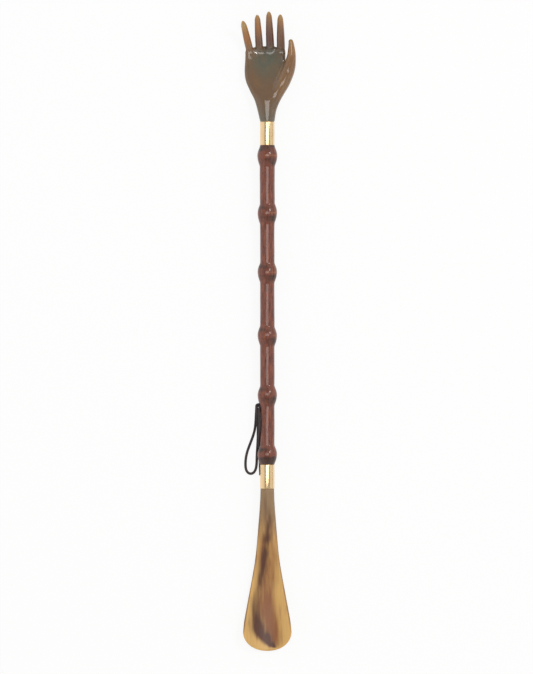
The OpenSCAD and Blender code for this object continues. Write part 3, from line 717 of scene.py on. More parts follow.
class ShaftOperator(bpy.types.Operator):
    """Adds the shaft: carved as bamboo, stained, with its lace hole"""

    bl_idname = "back_scratcher.add_shaft"
    bl_label = "Add shaft"

    def execute(self, context):
        shaft = context.scene.scratcher_shaft
        y, angle, girth, wear_and_highlight, dark_and_shade = shaft_surface(shaft.diameter / MM / 2,
                                                     shaft.swelling_diameter / MM / 2)
        y = np.concatenate([[UPPER_JOINT - GLUE_GAP / 2, SHAFT_TOP], y,
                            [SHAFT_BOTTOM, LOWER_JOINT + GLUE_GAP / 2]])
        spigot = np.full((2, SHAFT_SIDES), SPIGOT_R)
        none = np.zeros((2, SHAFT_SIDES))
        girth = np.concatenate([spigot, girth, spigot])
        # The undersides of the swellings are carved a little flatter, so that they rest on the table
        depth = np.where(np.sin(angle) < 0, np.minimum(girth, AXIS_Z), girth)
        points = np.stack(np.broadcast_arrays(girth * np.cos(angle), y[:, None],
                                              AXIS_Z + depth * np.sin(angle)), axis=-1).reshape(-1, 3)
        poles = [[0, y[0], AXIS_Z], [0, y[-1], AXIS_Z]]
        masks = {key: np.concatenate([np.concatenate([none, mask, none]).ravel(), [0, 0]])
                 for key, mask in (("wear_and_highlight", wear_and_highlight), ("dark_and_shade", dark_and_shade))}
        piece = make_piece("carved_shaft", np.concatenate([points, poles]),
                           capped_tube_faces(len(y), SHAFT_SIDES), lacquered_stained_wood(shaft),
                           "handle", ["shaft"], masks)
        self.drill(context, piece, shaft.hole_diameter / MM / 2)
        return {"FINISHED"}

    def drill(self, context, piece, radius):
        """Cuts the lace hole, a round hole from the left to just past the axis."""
        angle = 2 * math.pi * np.arange(LACE_HOLE_SIDES) / LACE_HOLE_SIDES
        y = SHAFT_BOTTOM + LACE_HOLE_UP
        ends = np.array([LACE_HOLE_PAST, LACE_HOLE_FROM])
        points = np.stack(np.broadcast_arrays(ends[:, None], y + radius * np.cos(angle),
                                              AXIS_Z + radius * np.sin(angle)), axis=-1).reshape(-1, 3)
        poles = [[ends[0], y, AXIS_Z], [ends[1], y, AXIS_Z]]
        bit = make_piece("lace_hole_bit", np.concatenate([points, poles]),
                         capped_tube_faces(len(ends), LACE_HOLE_SIDES), piece.data.materials[0],
                         "handle")
        cut = piece.modifiers.new("lace_hole", "BOOLEAN")
        cut.operation = "DIFFERENCE"
        cut.solver = "EXACT"
        cut.object = bit
        made = piece.evaluated_get(context.evaluated_depsgraph_get())
        drilled = bpy.data.meshes.new_from_object(made)
        piece.modifiers.clear()
        piece.data = drilled
        bpy.data.objects.remove(bit)


# Collars


COLLAR_SIDES = 128
COLLAR_EDGE_STEPS = 6
COLLAR_SHARP = math.radians(50)


def collar_surface(top, bottom, edge):
    """A closed profile turned about the axis: the outside with both edges rounded by quarter circles,
    and the bore."""
    turn = np.linspace(0, math.pi / 2, COLLAR_EDGE_STEPS)
    bore = COLLAR_R - COLLAR_WALL
    edge = min(edge, COLLAR_WALL / 2)
    girth = np.concatenate([[bore], COLLAR_R - edge + edge * np.sin(turn),
                            COLLAR_R - edge + edge * np.cos(turn), [bore]])
    y = np.concatenate([[top], top - edge + edge * np.cos(turn), bottom + edge - edge * np.sin(turn),
                        [bottom]])
    angle = 2 * math.pi * np.arange(COLLAR_SIDES) / COLLAR_SIDES
    points = np.stack(np.broadcast_arrays(girth[:, None] * np.cos(angle), y[:, None],
                                          AXIS_Z + girth[:, None] * np.sin(angle)), axis=-1)
    rows = np.arange(len(girth))[:, None] * COLLAR_SIDES
    next_rows = np.roll(rows, -1, axis=0)
    side = np.arange(COLLAR_SIDES)
    following = (side + 1) % COLLAR_SIDES
    quads = np.stack([rows + side, rows + following, next_rows + following, next_rows + side], axis=-1)
    return points.reshape(-1, 3), [quads.reshape(-1, 4)]


class CollarsOperator(bpy.types.Operator):
    """Adds the two brass collars"""

    bl_idname = "back_scratcher.add_collars"
    bl_label = "Add collars"

    def execute(self, context):
        collar = context.scene.scratcher_collars
        brass = polished_brass(collar)
        for name, top, bottom in (("upper_collar", WRIST_Y, SHAFT_TOP),
                                  ("lower_collar", SHAFT_BOTTOM, NECK_Y)):
            points, faces = collar_surface(top, bottom, collar.edge_round / MM)
            piece = make_piece(name + "_tube", points, faces, brass, "handle", [name])
            piece.data.set_sharp_from_angle(angle=COLLAR_SHARP)
        return {"FINISHED"}


class StudsOperator(bpy.types.Operator):
    """Gives the studs inside the collars their steel"""

    bl_idname = "back_scratcher.finish_studs"
    bl_label = "Finish studs"

    def execute(self, context):
        steel = plain_steel()
        for name in ("upper_stud", "lower_stud"):
            stud = bpy.data.objects[name]
            for slot in stud.material_slots:
                slot.material = steel
        return {"FINISHED"}


# Blade


BLADE_LEN = NECK_Y - BLADE_BOX[0][1]
TIP_LEN = 19.5
TIP_SHAPE = 2.1
TIP_LIFT = 2
LIFT_FROM = 0.7
FLAT_SHARE = 0.62
FALL_SHARE = 0.75
RIM_ROUND = 1.6
# Shape of the outline's corners at the neck and at the flat end
NECK_CORNER = 2
FLAT_CORNER = 4
BLADE_SIDES = 72
BLADE_RINGS = 100
TIP_RINGS = 32
# Width: share of the length up to the tip, share of the greatest width
BLADE_ROWS = [(0.1, 0.3), (0.26, 0.37), (0.42, 0.45), (0.52, 0.52), (0.62, 0.62), (0.73, 0.74),
              (0.84, 0.86), (0.93, 0.955), (1, 1)]
OLIVE_FROM = 85
OLIVE_FADE = 80
# Painted shade along the rim: strength, share across the blade where it begins, distance from the tip
# where it fades
RIM_SHADE_STRENGTH = 0.62
RIM_SHADE_FROM = 0.88
RIM_SHADE_TIP = 10
RIM_SHADE_TIP_FADE = 20
CLOUD_FALL = 1.9
# Clouds in the horn: distance from the tip, x of the middle, half widths left and right, strength
STREAK_ROWS = [(2, 8.5, 3, 1.6, 0), (5, 6.2, 6, 2.6, 0.95), (12, 0, 8, 4.2, 1.22),
               (20, -5.6, 8.5, 4.8, 1.22), (27, -9, 7.5, 5.6, 0.98), (35, -11, 5.5, 5.5, 0.78),
               (44, -11.6, 5, 5, 0.64), (57, -10, 4.4, 4.4, 0.5), (69, -7.6, 4, 4, 0.6),
               (81, -4.6, 4, 4, 0.76), (97, -1.8, 4, 4, 0.84), (106, -0.8, 3.4, 3.4, 0.62),
               (112, -0.3, 4.4, 4.4, 0.78), (121, 0.4, 3.4, 3.4, 0.6), (132, 1.2, 3.4, 3.4, 0.48),
               (149, -1.4, 3, 3, 0.34), (162, -1, 3, 3, 0.1)]
BROWN_ROWS = [(2, 6, 6, 6, 0.2), (8, 6, 8, 8, 0.7), (22, 4.5, 10, 9, 0.9), (42, 0, 11, 10, 0.9),
              (62, -1, 9, 9, 0.7), (80, 0, 13, 13, 0.58), (97, 0, 20, 20, 0.52),
              (120, -2, 20, 15, 0.32), (145, -3, 20, 13, 0.14), (162, 0, 20, 20, 0.12)]


def blade_surface(blade):
    """Rounded outlines carried along the blade: a circle at the neck that grows wider, flatter and
    boxier, bent up at its sides as a parabola, sunk to the table and lifted at the tip. The outline
    closes at the tip as a superellipse, and its thickness closes over the last stretch as an ellipse.
    Also gives how far across the blade each point lies, as a share."""
    width, neck = blade.width / MM, blade.neck_diameter / MM
    thick, trough = blade.thickness / MM, blade.trough / MM
    straight = BLADE_LEN - TIP_LEN
    tip = np.sin(np.linspace(0, math.pi / 2, TIP_RINGS + 2)[1:-1])
    s = np.concatenate([np.linspace(0, straight, BLADE_RINGS), straight + TIP_LEN * tip])
    row = smooth_rows([(0, neck / width)] + BLADE_ROWS, np.minimum(s / straight, 1))[0]
    close = (1 - np.clip((s - straight) / TIP_LEN, 0, 1) ** TIP_SHAPE) ** (1 / TIP_SHAPE)
    half_w = width / 2 * row * close
    flat = ease(s / (BLADE_LEN * FLAT_SHARE))
    rim = np.sqrt(1 - np.clip((s - BLADE_LEN + RIM_ROUND) / RIM_ROUND, 0, 1) ** 2)
    half_t = (neck / 2 + (thick - neck) / 2 * flat) * rim
    corner = NECK_CORNER + (FLAT_CORNER - NECK_CORNER) * flat
    lift = TIP_LIFT * (np.maximum(s / BLADE_LEN - LIFT_FROM, 0) / (1 - LIFT_FROM)) ** 2
    middle = AXIS_Z + (thick / 2 - AXIS_Z) * ease(s / (BLADE_LEN * FALL_SHARE)) + lift
    angle = 2 * math.pi * np.arange(BLADE_SIDES) / BLADE_SIDES
    across = squared(np.cos(angle)[None], corner[:, None])
    x = half_w[:, None] * across
    z = (middle[:, None] + (trough * flat)[:, None] * (x / (width / 2)) ** 2
         + half_t[:, None] * squared(np.sin(angle)[None], corner[:, None]))
    tip_z = middle[-1]
    spigot_x = SPIGOT_R * np.cos(angle)
    spigot_z = AXIS_Z + SPIGOT_R * np.sin(angle)
    spigot_s = NECK_Y - LOWER_JOINT + GLUE_GAP / 2
    x = np.concatenate([[spigot_x, spigot_x], x])
    z = np.concatenate([[spigot_z, spigot_z], z])
    s = np.concatenate([[spigot_s, 0], s])
    across = np.concatenate([np.zeros(2 * BLADE_SIDES), np.abs(across).ravel(), [0, 0]])
    points = np.stack(np.broadcast_arrays(x, (NECK_Y - s)[:, None], z), axis=-1).reshape(-1, 3)
    poles = [[0, NECK_Y - spigot_s, AXIS_Z], [0, NECK_Y - BLADE_LEN, tip_z]]
    return np.concatenate([points, poles]), capped_tube_faces(len(s), BLADE_SIDES), across


def blade_masks(points, across):
    """Streak, brown cloud, olive neck and painted shade along the rim: bells across the rows' middles, a
    fade along the blade, and a line where the share across the blade is nearly whole."""
    from_tip = points[:, 1] - (NECK_Y - BLADE_LEN)
    # Painted shade in a line along the rim, fading out towards the tip
    rim = ease((across - RIM_SHADE_FROM) / (1 - RIM_SHADE_FROM)) * ease((from_tip - RIM_SHADE_TIP) / RIM_SHADE_TIP_FADE)
    masks = {"olive": ease((from_tip - OLIVE_FROM) / OLIVE_FADE), "rim": RIM_SHADE_STRENGTH * rim}
    for key, rows in (("brown", BROWN_ROWS), ("streak", STREAK_ROWS)):
        middle, left, right, strength = smooth_rows(rows, from_tip)
        off = points[:, 0] - middle
        masks[key] = strength * np.exp(-np.abs(off / np.where(off < 0, left, right)) ** CLOUD_FALL)
    return masks


class BladeOperator(bpy.types.Operator):
    """Adds the shoehorn blade with its round neck"""

    bl_idname = "back_scratcher.add_blade"
    bl_label = "Add shoehorn blade"

    def execute(self, context):
        blade = context.scene.scratcher_blade
        points, faces, across = blade_surface(blade)
        make_piece("horn_blade", points, faces, polished_pale_horn(blade), "handle",
                   ["shoehorn_blade"], blade_masks(points, across))
        return {"FINISHED"}


# Hand


# Half widths of the palm as shares of its width, and the stretch where one passes into the other
PALM_LEFT = 0.5675
PALM_RIGHT = 0.435
PALM_SIDES_MEET = 18
# Power of the hollow across the palm, least share of its thickness at the rim, least half thickness
HOLLOW_SHAPE = 1.5
RIM_LEAST = 0.06
PALM_LEAST = 1
# Fingers: root x and tip x as shares of the palm's width, length, narrower at the root by, root height
FINGERS = [(-0.36, -0.61, 48.3, 0.3, 4.9), (-0.1725, -0.2525, 55.1, 0.25, 3.7),
           (0.09, 0.0375, 58.8, 0, 3.4), (0.3475, 0.3225, 55.5, 0, 4.6)]
FINGER_BURY = 16
FINGER_START = 3
FINGER_PAST = 1.2
FINGER_FLAT = 0.92
# Roots in the palm: shares of thickness and width there, and the reach where they come out and are full
FINGER_THIN = 0.2
FINGER_NARROW = 0.92
FINGER_LATE = 11
FINGER_FULL = 18
NOSE_LEN = 5.5
WEB_PAST = 1.5
WEB_ROUND = 6
# Scoop below the finger roots
SCOOP_X = -1
SCOOP_W = 19
SCOOP_BACK = 2
SCOOP_L = 10.5
SCOOP_DEPTH = 1.3
SCOOP_SOFT = 0.1
THUMB_LEN = 68.4
THUMB_START = 14
# Thumb: share of the length, x as a share of the palm's width, height over the axis, radius
THUMB_ROWS = [(0, 0.0625, -2.4, 5.5), (0.15, 0.18, -2, 6.3), (0.28, 0.295, -0.9, 6.8),
              (0.37, 0.38, -0.3, 7), (0.46, 0.45, -0.7, 6.9), (0.55, 0.513, -1.1, 6.6),
              (0.65, 0.565, 0.5, 5.8), (0.78, 0.603, 3.3, 4.4), (0.86, 0.606, 4.4, 3.75),
              (0.94, 0.6, 5.3, 2.95), (1, 0.588, 6.1, 2.3)]
THUMB_JOINTS = 40
FINGER_FILLET = 1.0
PALM_FILLET = 2.4
WRIST_FILLET = 0.5
TENON_BURY = 0.2
FAR = 1000
# Grid of the hand: cell, margin round the solid, and the band of distances that it keeps
HAND_CELL = 0.75
HAND_MARGIN = 2
HAND_BAND = 3
# Steps of the points onto the surface: number, longest step, and distance over which slopes are taken
HAND_STEPS = 4
HAND_LONGEST = 0.3
HAND_NUDGE = 0.03
# Least slopes that distances are divided by
PALM_SLOPE = 0.03
FINGER_SLOPE = 0.1
HAND_SLOPE = 0.5


def hand_sizes(hand):
    """Sizes of the hand in millimetres, and the rows of the palm: distance from the wrist, half widths
    left and right, back and front height, hollow, corner shape."""
    length, width = hand.palm_length / MM, hand.palm_width / MM
    thick, hollow = hand.palm_thickness / MM, hand.palm_hollow / MM
    left, right = width * PALM_LEFT, width * PALM_RIGHT
    rows = [
        (0, COLLAR_R, COLLAR_R, AXIS_Z - COLLAR_R, AXIS_Z + COLLAR_R, 0, 2),
        (length * 0.15, left * 0.43, right * 0.52, AXIS_Z * 0.253, AXIS_Z * 1.716, 0, 1.9),
        (length * 0.29, left * 0.56, right * 0.7, AXIS_Z * 0.221, AXIS_Z * 1.68, 0, 1.8),
        (length * 0.42, left * 0.77, right * 0.92, AXIS_Z * 0.137, AXIS_Z * 1.547, hollow * 0.2, 2),
        (length * 0.55, left * 0.945, right, AXIS_Z * 0.042, thick, hollow * 0.5, 2.15),
        (length * 0.68, left, right, 0, thick * 0.93, hollow * 0.8, 2.2),
        (length * 0.84, left * 0.965, right, 0, thick * 0.83, hollow * 0.95, 2.2),
        (length + WEB_PAST, left * 0.94, right, thick * 0.043, thick * 0.71, hollow * 0.8, 2.2),
    ]
    return {"length": length, "width": width, "rows": rows, "finger": hand.finger_width / MM / 2,
            "tip": hand.fingertip_width / MM / 2, "curl": hand.finger_curl}


def joined(a, b, fillet):
    """Smooth union of two distances: the smaller one, less a fillet where they are nearly equal."""
    near = np.maximum(fillet - np.abs(a - b), 0) / fillet
    return np.minimum(a, b) - near * near * fillet / 4


def palm_distance(sizes, x, s, z):
    """About the distance to the palm: a rounded outline whose middle sinks by the hollow, carried from
    the wrist to the finger roots, where it is rounded off as an ellipse. Below the finger roots a
    second, oval scoop with a clear edge sinks by a paraboloid."""
    left, right, back, front, hollow, n = smooth_rows(sizes["rows"], s)
    half_w = left + (right - left) * ease(x / PALM_SIDES_MEET + 0.5)
    back = np.maximum(back, 0)
    u = np.abs(x) / half_w
    inside = np.clip(1 - u * u, 0, 1)
    scoop = 1 - ((x - SCOOP_X) / SCOOP_W) ** 2 - ((s - sizes["length"] + SCOOP_BACK) / SCOOP_L) ** 2
    dish = (np.maximum(hollow, 0) * inside ** HOLLOW_SHAPE
            + SCOOP_DEPTH * (scoop + np.hypot(scoop, SCOOP_SOFT)) / 2)
    edge = np.sqrt(np.maximum(inside, RIM_LEAST))
    half_t = np.maximum((front - back) / 2 - dish / (2 * edge), PALM_LEAST)
    v = np.abs(z - (front + back) / 2 + dish / 2) / half_t
    q = np.maximum(s - (sizes["length"] + WEB_PAST - WEB_ROUND), 0) / WEB_ROUND
    oval = np.maximum(u ** n + v ** n, 1e-9) ** (1 / n)
    oval_slope = oval ** (1 - n) * np.hypot(u ** (n - 1) / half_w, v ** (n - 1) / half_t)
    full = np.hypot(oval, q)
    slope = np.hypot(oval * oval_slope, q / WEB_ROUND) / full
    return (full - 1) / np.maximum(slope, PALM_SLOPE)


def finger_reach(sizes, finger, s, z):
    """Where a point lies along a finger, which is an arc that leaves the palm level and curls up: its
    reach along Y, the reach of the tip, and the distance from the arc towards its inside."""
    radius = finger[2] / sizes["curl"]
    along = s - sizes["length"] + FINGER_BURY
    below = finger[4] + radius - z
    reach = radius * np.sin(np.arctan2(along, below))
    return reach, radius * math.sin(sizes["curl"]), radius - np.hypot(along, below)


def finger_x(sizes, finger, share):
    """Middle of a finger at a share of its reach."""
    return sizes["width"] * (finger[0] + (finger[1] - finger[0]) * share)


def finger_distance(sizes, finger, x, s, z):
    """About the distance to a finger: an ellipse carried along its arc, thin where it comes out of the
    palm, which tapers as a parabola and ends in half an ellipsoid."""
    reach, tip_reach, inner = finger_reach(sizes, finger, s, z)
    left = tip_reach - reach
    half = sizes["finger"] - finger[3]
    late = np.clip(1 - left / (tip_reach - FINGER_BURY), 0, FINGER_PAST)
    taper = half - (half - sizes["tip"]) * late ** 2
    out = ease((reach - FINGER_LATE) / (FINGER_FULL - FINGER_LATE))
    w = taper * (FINGER_NARROW + (1 - FINGER_NARROW) * out)
    h = taper * FINGER_FLAT * (FINGER_THIN + (1 - FINGER_THIN) * out)
    off = x - finger_x(sizes, finger, reach / tip_reach)
    nose = np.maximum(1 - left / NOSE_LEN, 0)
    start = np.maximum(-reach, 0) / FINGER_START
    level = (off / w) ** 2 + (inner / h) ** 2 + nose ** 2 + start ** 2
    slope = np.sqrt((off / w ** 2) ** 2 + (inner / h ** 2) ** 2 + (nose / NOSE_LEN) ** 2
                    + (start / FINGER_START) ** 2)
    return (level - 1) / np.maximum(2 * slope, FINGER_SLOPE)


def thumb_distance(sizes, points):
    """Distance to the thumb: balls on a smooth curve, each drawn out to the next."""
    share = np.linspace(0, 1, THUMB_JOINTS + 1)
    x, z, r = smooth_rows(THUMB_ROWS, share)
    y = WRIST_Y + THUMB_START + (THUMB_LEN - THUMB_ROWS[-1][3]) * share
    ball = np.stack([sizes["width"] * x, y, AXIS_Z + z], axis=1)
    nearest = np.full(len(points), float(FAR))
    for i in range(THUMB_JOINTS):
        step = ball[i + 1] - ball[i]
        t = np.clip((points - ball[i]) @ step / (step @ step), 0, 1)
        off = np.linalg.norm(points - ball[i] - t[:, None] * step, axis=1)
        nearest = np.minimum(nearest, off - r[i] - t * (r[i + 1] - r[i]))
    return nearest


def hand_distance(sizes, points):
    """About the distance to the whole hand: fingers joined to the palm and the thumb to both with
    fillets, cut square at the wrist and at the table, and a round spigot below the wrist."""
    x, s, z = points[:, 0], points[:, 1] - WRIST_Y, points[:, 2]
    fingers = np.full(len(points), float(FAR))
    for finger in FINGERS:
        fingers = joined(fingers, finger_distance(sizes, finger, x, s, z), FINGER_FILLET)
    hand = joined(palm_distance(sizes, x, s, z), fingers, PALM_FILLET)
    hand = joined(hand, thumb_distance(sizes, points), PALM_FILLET)
    hand = -joined(-hand, s - GLUE_GAP / 2, WRIST_FILLET)
    hand = np.maximum(hand, -z)
    ends = np.maximum(s - TENON_BURY, UPPER_JOINT - WRIST_Y + GLUE_GAP / 2 - s)
    spigot = np.maximum(np.hypot(x, z - AXIS_Z) - SPIGOT_R, ends)
    return np.minimum(hand, spigot)


def hand_surface(sizes):
    """The surface where the distance is zero: found on a grid of cells, and then each point moved onto
    it along the slope of the distance."""
    low, high = (np.array(corner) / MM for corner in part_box("scratcher_hand"))
    low = low - HAND_MARGIN
    axes = [np.arange(a, b, HAND_CELL) for a, b in zip(low, high + HAND_MARGIN)]
    grid_points = np.stack(np.meshgrid(*axes, indexing="ij"), axis=-1).reshape(-1, 3)
    level = hand_distance(sizes, grid_points).reshape([len(axis) for axis in axes])
    grid = openvdb.FloatGrid(background=float(HAND_BAND))
    grid.copyFromArray(np.ascontiguousarray(np.clip(level, -HAND_BAND, HAND_BAND), dtype=np.float32))
    points, quads = grid.convertToQuads(0)
    points = np.asarray(points, float) * HAND_CELL + low
    for _ in range(HAND_STEPS):
        ahead = [hand_distance(sizes, points + nudge) for nudge in np.eye(3) * HAND_NUDGE]
        behind = [hand_distance(sizes, points - nudge) for nudge in np.eye(3) * HAND_NUDGE]
        slope = (np.stack(ahead, axis=1) - np.stack(behind, axis=1)) / (2 * HAND_NUDGE)
        step = hand_distance(sizes, points) / np.maximum((slope ** 2).sum(axis=1), HAND_SLOPE ** 2)
        points = points - np.clip(step, -HAND_LONGEST, HAND_LONGEST)[:, None] * slope
    return points, [np.asarray(quads, dtype=np.int64)]


# Colours along each finger and the thumb: share from the web to the tip, amber, gold, plum
FINGER_TINTS = [
    [(0, 0.35, 0, 0.1), (0.3, 0.8, 0, 0), (0.6, 1, 0.2, 0), (0.85, 0.8, 0.9, 0), (1, 0.6, 1, 0)],
    [(0, 0.05, 0, 0.3), (0.3, 0.25, 0, 0.7), (0.6, 0.8, 0, 0.3), (0.85, 1, 0.3, 0), (1, 0.8, 0.7, 0)],
    [(0, 0, 0, 0.3), (0.3, 0.05, 0, 1), (0.6, 0.25, 0, 0.8), (0.85, 0.65, 0.1, 0.2), (1, 0.8, 0.6, 0)],
    [(0, 0.1, 0, 0.3), (0.3, 0.15, 0, 0.6), (0.6, 0.35, 0, 0.5), (0.85, 0.7, 0.2, 0.1),
     (1, 0.7, 0.8, 0)],
]
THUMB_TINTS = [(0, 0, 0, 0), (0.25, 0.25, 0.1, 0), (0.4, 0.3, 0.12, 0), (0.65, 0.45, 0.05, 0),
               (0.85, 0.75, 0.25, 0), (1, 0.7, 0.75, 0)]
TINT_W = 3.5
TINT_FADE = 4
WEB_S = 73
# Where the thumb's colours begin, by distance from the thumb and by x, and how long they take
THUMB_NEAR = 2.5
THUMB_NEAR_FADE = 4
THUMB_X = 6
THUMB_X_FADE = 9
# Olive cloud in the upper palm, and a fainter one at the wrist
CLOUD_W = 15
CLOUD_BACK = 11
CLOUD_L = 17
WRIST_CLOUD = 0.42


def hand_masks(sizes, points):
    """Amber, gold, plum and edge colours: each finger's rows along its length, shared out by the
    distance from the finger's middle and faded into the palm; the thumb's rows; and all round the olive
    cloud, a bell in the upper palm and another at the wrist, the brown of the edges."""
    x, s, z = points[:, 0], points[:, 1] - WRIST_Y, points[:, 2]
    total = np.zeros(len(points))
    tints = np.zeros((3, len(points)))
    for finger, rows in zip(FINGERS, FINGER_TINTS):
        reach, tip_reach, _ = finger_reach(sizes, finger, s, z)
        web = WEB_S - sizes["length"] + FINGER_BURY
        share = (reach - web) / (tip_reach - web)
        weight = bell(x - finger_x(sizes, finger, reach / tip_reach), TINT_W) + 1e-9
        fade = np.exp(np.minimum(share, 0) * TINT_FADE)
        tints += weight * fade * smooth_rows(rows, np.clip(share, 0, 1))
        total += weight
    tints /= total
    near = ease((THUMB_NEAR - thumb_distance(sizes, points)) / THUMB_NEAR_FADE)
    thumb = near * ease((x - THUMB_X) / THUMB_X_FADE)
    tints += thumb * (smooth_rows(THUMB_TINTS, (s - THUMB_START) / THUMB_LEN) - tints)
    cloud = bell(x, CLOUD_W) * bell(s - sizes["length"] + CLOUD_BACK, CLOUD_L)
    cloud = np.maximum(cloud, WRIST_CLOUD * bell(s, CLOUD_W))
    amber, gold, plum = tints
    return {"amber": amber, "gold": gold, "plum": plum, "edge": np.maximum(1 - cloud, thumb)}


class HandOperator(bpy.types.Operator):
    """Adds the carved horn hand"""

    bl_idname = "back_scratcher.add_hand"
    bl_label = "Add hand"

    def execute(self, context):
        hand = context.scene.scratcher_hand
        sizes = hand_sizes(hand)
        points, faces = hand_surface(sizes)
        make_piece("carved_hand", points, faces, polished_dark_horn(hand), "handle",
                   ["scratcher_hand"], hand_masks(sizes, points))
        return {"FINISHED"}


# Stage


# The picture is 533 by 674 pixels, and shows the part at one pixel to the millimetre
PICTURE_HEIGHT = 0.674
PICTURE_CENTRE = (-0.0008, -0.0058)
SENSOR = 36
# Share of the table top's own even white, where it is seen
TABLE_EVEN = 0.88
TABLE_TOOTH = 1.11
# Studio: strength of the walls and of the low screen, and how much the screen's edge falls off sideways
WALL_STRENGTH = 0.975
SCREEN_STRENGTH = 0.097
SCREEN_STEEP = 4


def table_top(stage):
    """Pale matt table top. To the eye and in reflections it is nearly its own even white, so that the
    ground stays pale, and the rest of it takes the part's shadow."""
    material, tree = new_material("matt_white_table")
    place = add(tree, "ShaderNodeTexCoord").outputs["Object"]
    tooth = add(tree, "ShaderNodeTexNoise",
                {"Vector": place, "Scale": 1 / (TABLE_TOOTH * MM), "Detail": 2})
    bump = add(tree, "ShaderNodeBump", {"Height": tooth.outputs["Fac"], "Strength": 0.02})
    matt = add(tree, "ShaderNodeBsdfDiffuse",
               {"Color": (*stage.floor_colour, 1), "Normal": bump.outputs[0]})
    even = add(tree, "ShaderNodeEmission", {"Color": WHITE, "Strength": 1})
    rays = add(tree, "ShaderNodeLightPath")
    seen = rays.outputs["Is Camera Ray"]
    for kind in ("Is Glossy Ray", "Is Transmission Ray"):
        either = add(tree, "ShaderNodeMath", {0: seen, 1: rays.outputs[kind]}, operation="MAXIMUM")
        seen = either.outputs[0]
    share = add(tree, "ShaderNodeMath", {0: seen, 1: TABLE_EVEN}, operation="MULTIPLY")
    both = add(tree, "ShaderNodeMixShader",
               {0: share.outputs[0], 1: matt.outputs[0], 2: even.outputs[0]})
    add(tree, "ShaderNodeOutputMaterial", {"Surface": both.outputs[0]})
    return material


def studio_world():
    """Soft studio: pale walls, with a low dark screen on the right and a dimmer ceiling; plain white to
    the camera."""
    world = bpy.data.worlds.new("soft_studio")
    world.use_nodes = True
    tree = world.node_tree
    tree.nodes.clear()
    direction = add(tree, "ShaderNodeTexCoord").outputs["Generated"]
    parts = add(tree, "ShaderNodeSeparateXYZ", {0: direction})
    walls = add(tree, "ShaderNodeValToRGB", {"Fac": parts.outputs["Z"]},
                stops=[(0.0, linear("#f6f6f6")), (1.0, linear("#8c8c8c")), (0.5, linear("#fafafa")),
                       (0.64, linear("#d4d4d4")), (0.76, linear("#d0d0d0")), (0.82, linear("#8c8c8c"))])
    low = add(tree, "ShaderNodeMath", {0: parts.outputs["Z"], 1: -SCREEN_STEEP, 2: parts.outputs["X"]},
              operation="MULTIPLY_ADD")
    strength = add(tree, "ShaderNodeMapRange",
                   {"Value": low.outputs[0], "From Min": 0.3, "From Max": 0.45, "To Min": WALL_STRENGTH,
                    "To Max": SCREEN_STRENGTH})
    studio = add(tree, "ShaderNodeBackground",
                 {"Color": walls.outputs["Color"], "Strength": strength.outputs[0]})
    plain = add(tree, "ShaderNodeBackground", {"Color": WHITE, "Strength": 1})
    rays = add(tree, "ShaderNodeLightPath")
    both = add(tree, "ShaderNodeMixShader",
               {0: rays.outputs["Is Camera Ray"], 1: studio.outputs[0], 2: plain.outputs[0]})
    add(tree, "ShaderNodeOutputWorld", {"Surface": both.outputs[0]})
    return world


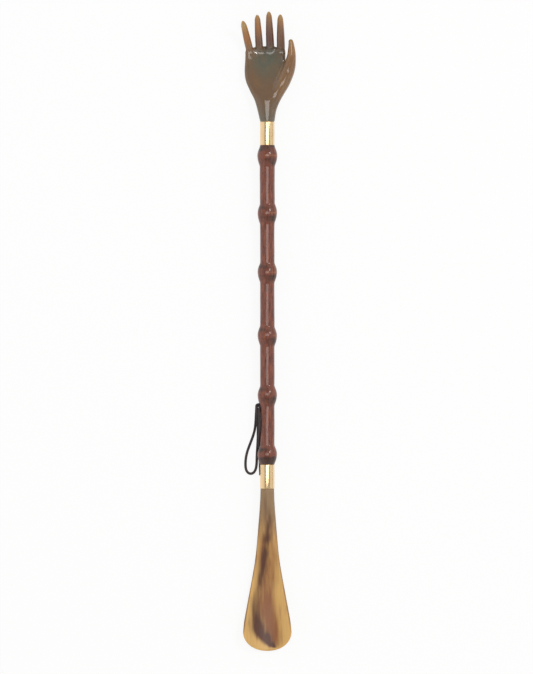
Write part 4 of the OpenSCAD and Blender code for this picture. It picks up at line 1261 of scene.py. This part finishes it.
class StageOperator(bpy.types.Operator):
    """Adds the camera, the lights and the table top"""

    bl_idname = "back_scratcher.add_stage"
    bl_label = "Add stage"

    def execute(self, context):
        scene = context.scene
        stage = scene.scratcher_stage
        scene.view_settings.view_transform = "Standard"
        camera = bpy.data.cameras.new("camera")
        camera.sensor_fit = "VERTICAL"
        camera.sensor_height = SENSOR
        camera.lens = SENSOR * stage.camera_height / PICTURE_HEIGHT
        camera_object = bpy.data.objects.new("camera", camera)
        camera_object.location = (*PICTURE_CENTRE, AXIS_Z * MM + stage.camera_height)
        scene.collection.objects.link(camera_object)
        scene.camera = camera_object
        half = stage.floor_size / 2
        floor_mesh = bpy.data.meshes.new("table_top")
        corners = [(-half, -half, 0), (half, -half, 0), (half, half, 0), (-half, half, 0)]
        floor_mesh.from_pydata(corners, [], [(0, 1, 2, 3)])
        floor_mesh.materials.append(table_top(stage))
        floor = bpy.data.objects.new("table_top", floor_mesh)
        scene.collection.objects.link(floor)
        scene.world = studio_world()
        # A softbox over the part, wide across it, and a small weak lamp to the upper right
        for name, width, length, watts, place, turn in (
                ("overhead_softbox", 2.0, 1.1, 26, (0, 0.2, 3.0), (0, 0, 0)),
                ("side_lamp", 0.5, 0.5, 17, (1.5, 1.1, 2.3), (-25.6, 33.1, 0))):
            light = bpy.data.lights.new(name, "AREA")
            light.shape = "RECTANGLE"
            light.size = width
            light.size_y = length
            light.energy = watts
            lamp = bpy.data.objects.new(name, light)
            lamp.location = place
            lamp.rotation_euler = [math.radians(value) for value in turn]
            lamp.visible_camera = False
            scene.collection.objects.link(lamp)
        return {"FINISHED"}


class ScratcherPanel(bpy.types.Panel):
    """Lists the settings and the steps"""

    bl_label = "Back scratcher"
    bl_idname = "VIEW3D_PT_back_scratcher"
    bl_space_type = "VIEW_3D"
    bl_region_type = "UI"
    bl_category = "Back scratcher"

    def draw(self, context):
        for group, label in SETTINGS:
            box = self.layout.box()
            box.label(text=label)
            settings = getattr(context.scene, group)
            for key in settings.__annotations__:
                box.prop(settings, key)
        for operator in OPERATORS:
            self.layout.operator(operator.bl_idname)


SETTINGS = [("scratcher_stage", "Stage"), ("scratcher_lace", "Lace"), ("scratcher_shaft", "Shaft"),
            ("scratcher_collars", "Collars"), ("scratcher_blade", "Blade"), ("scratcher_hand", "Hand")]
GROUPS = [StageSettings, LaceSettings, ShaftSettings, CollarSettings, BladeSettings, HandSettings]
OPERATORS = [StageOperator, LaceOperator, ShaftOperator, CollarsOperator, StudsOperator, BladeOperator,
             HandOperator]


def register():
    for made in GROUPS + OPERATORS + [ScratcherPanel]:
        bpy.utils.register_class(made)
    for (key, _), group in zip(SETTINGS, GROUPS):
        setattr(bpy.types.Scene, key, PointerProperty(type=group))


def unregister():
    for key, _ in SETTINGS:
        delattr(bpy.types.Scene, key)
    for made in reversed(GROUPS + OPERATORS + [ScratcherPanel]):
        bpy.utils.unregister_class(made)


def main():
    register()
    bpy.ops.back_scratcher.add_stage()
    bpy.ops.back_scratcher.add_lace()
    bpy.ops.back_scratcher.add_shaft()
    bpy.ops.back_scratcher.add_collars()
    bpy.ops.back_scratcher.finish_studs()
    bpy.ops.back_scratcher.add_blade()
    bpy.ops.back_scratcher.add_hand()


if __name__ == "__main__":
    main()
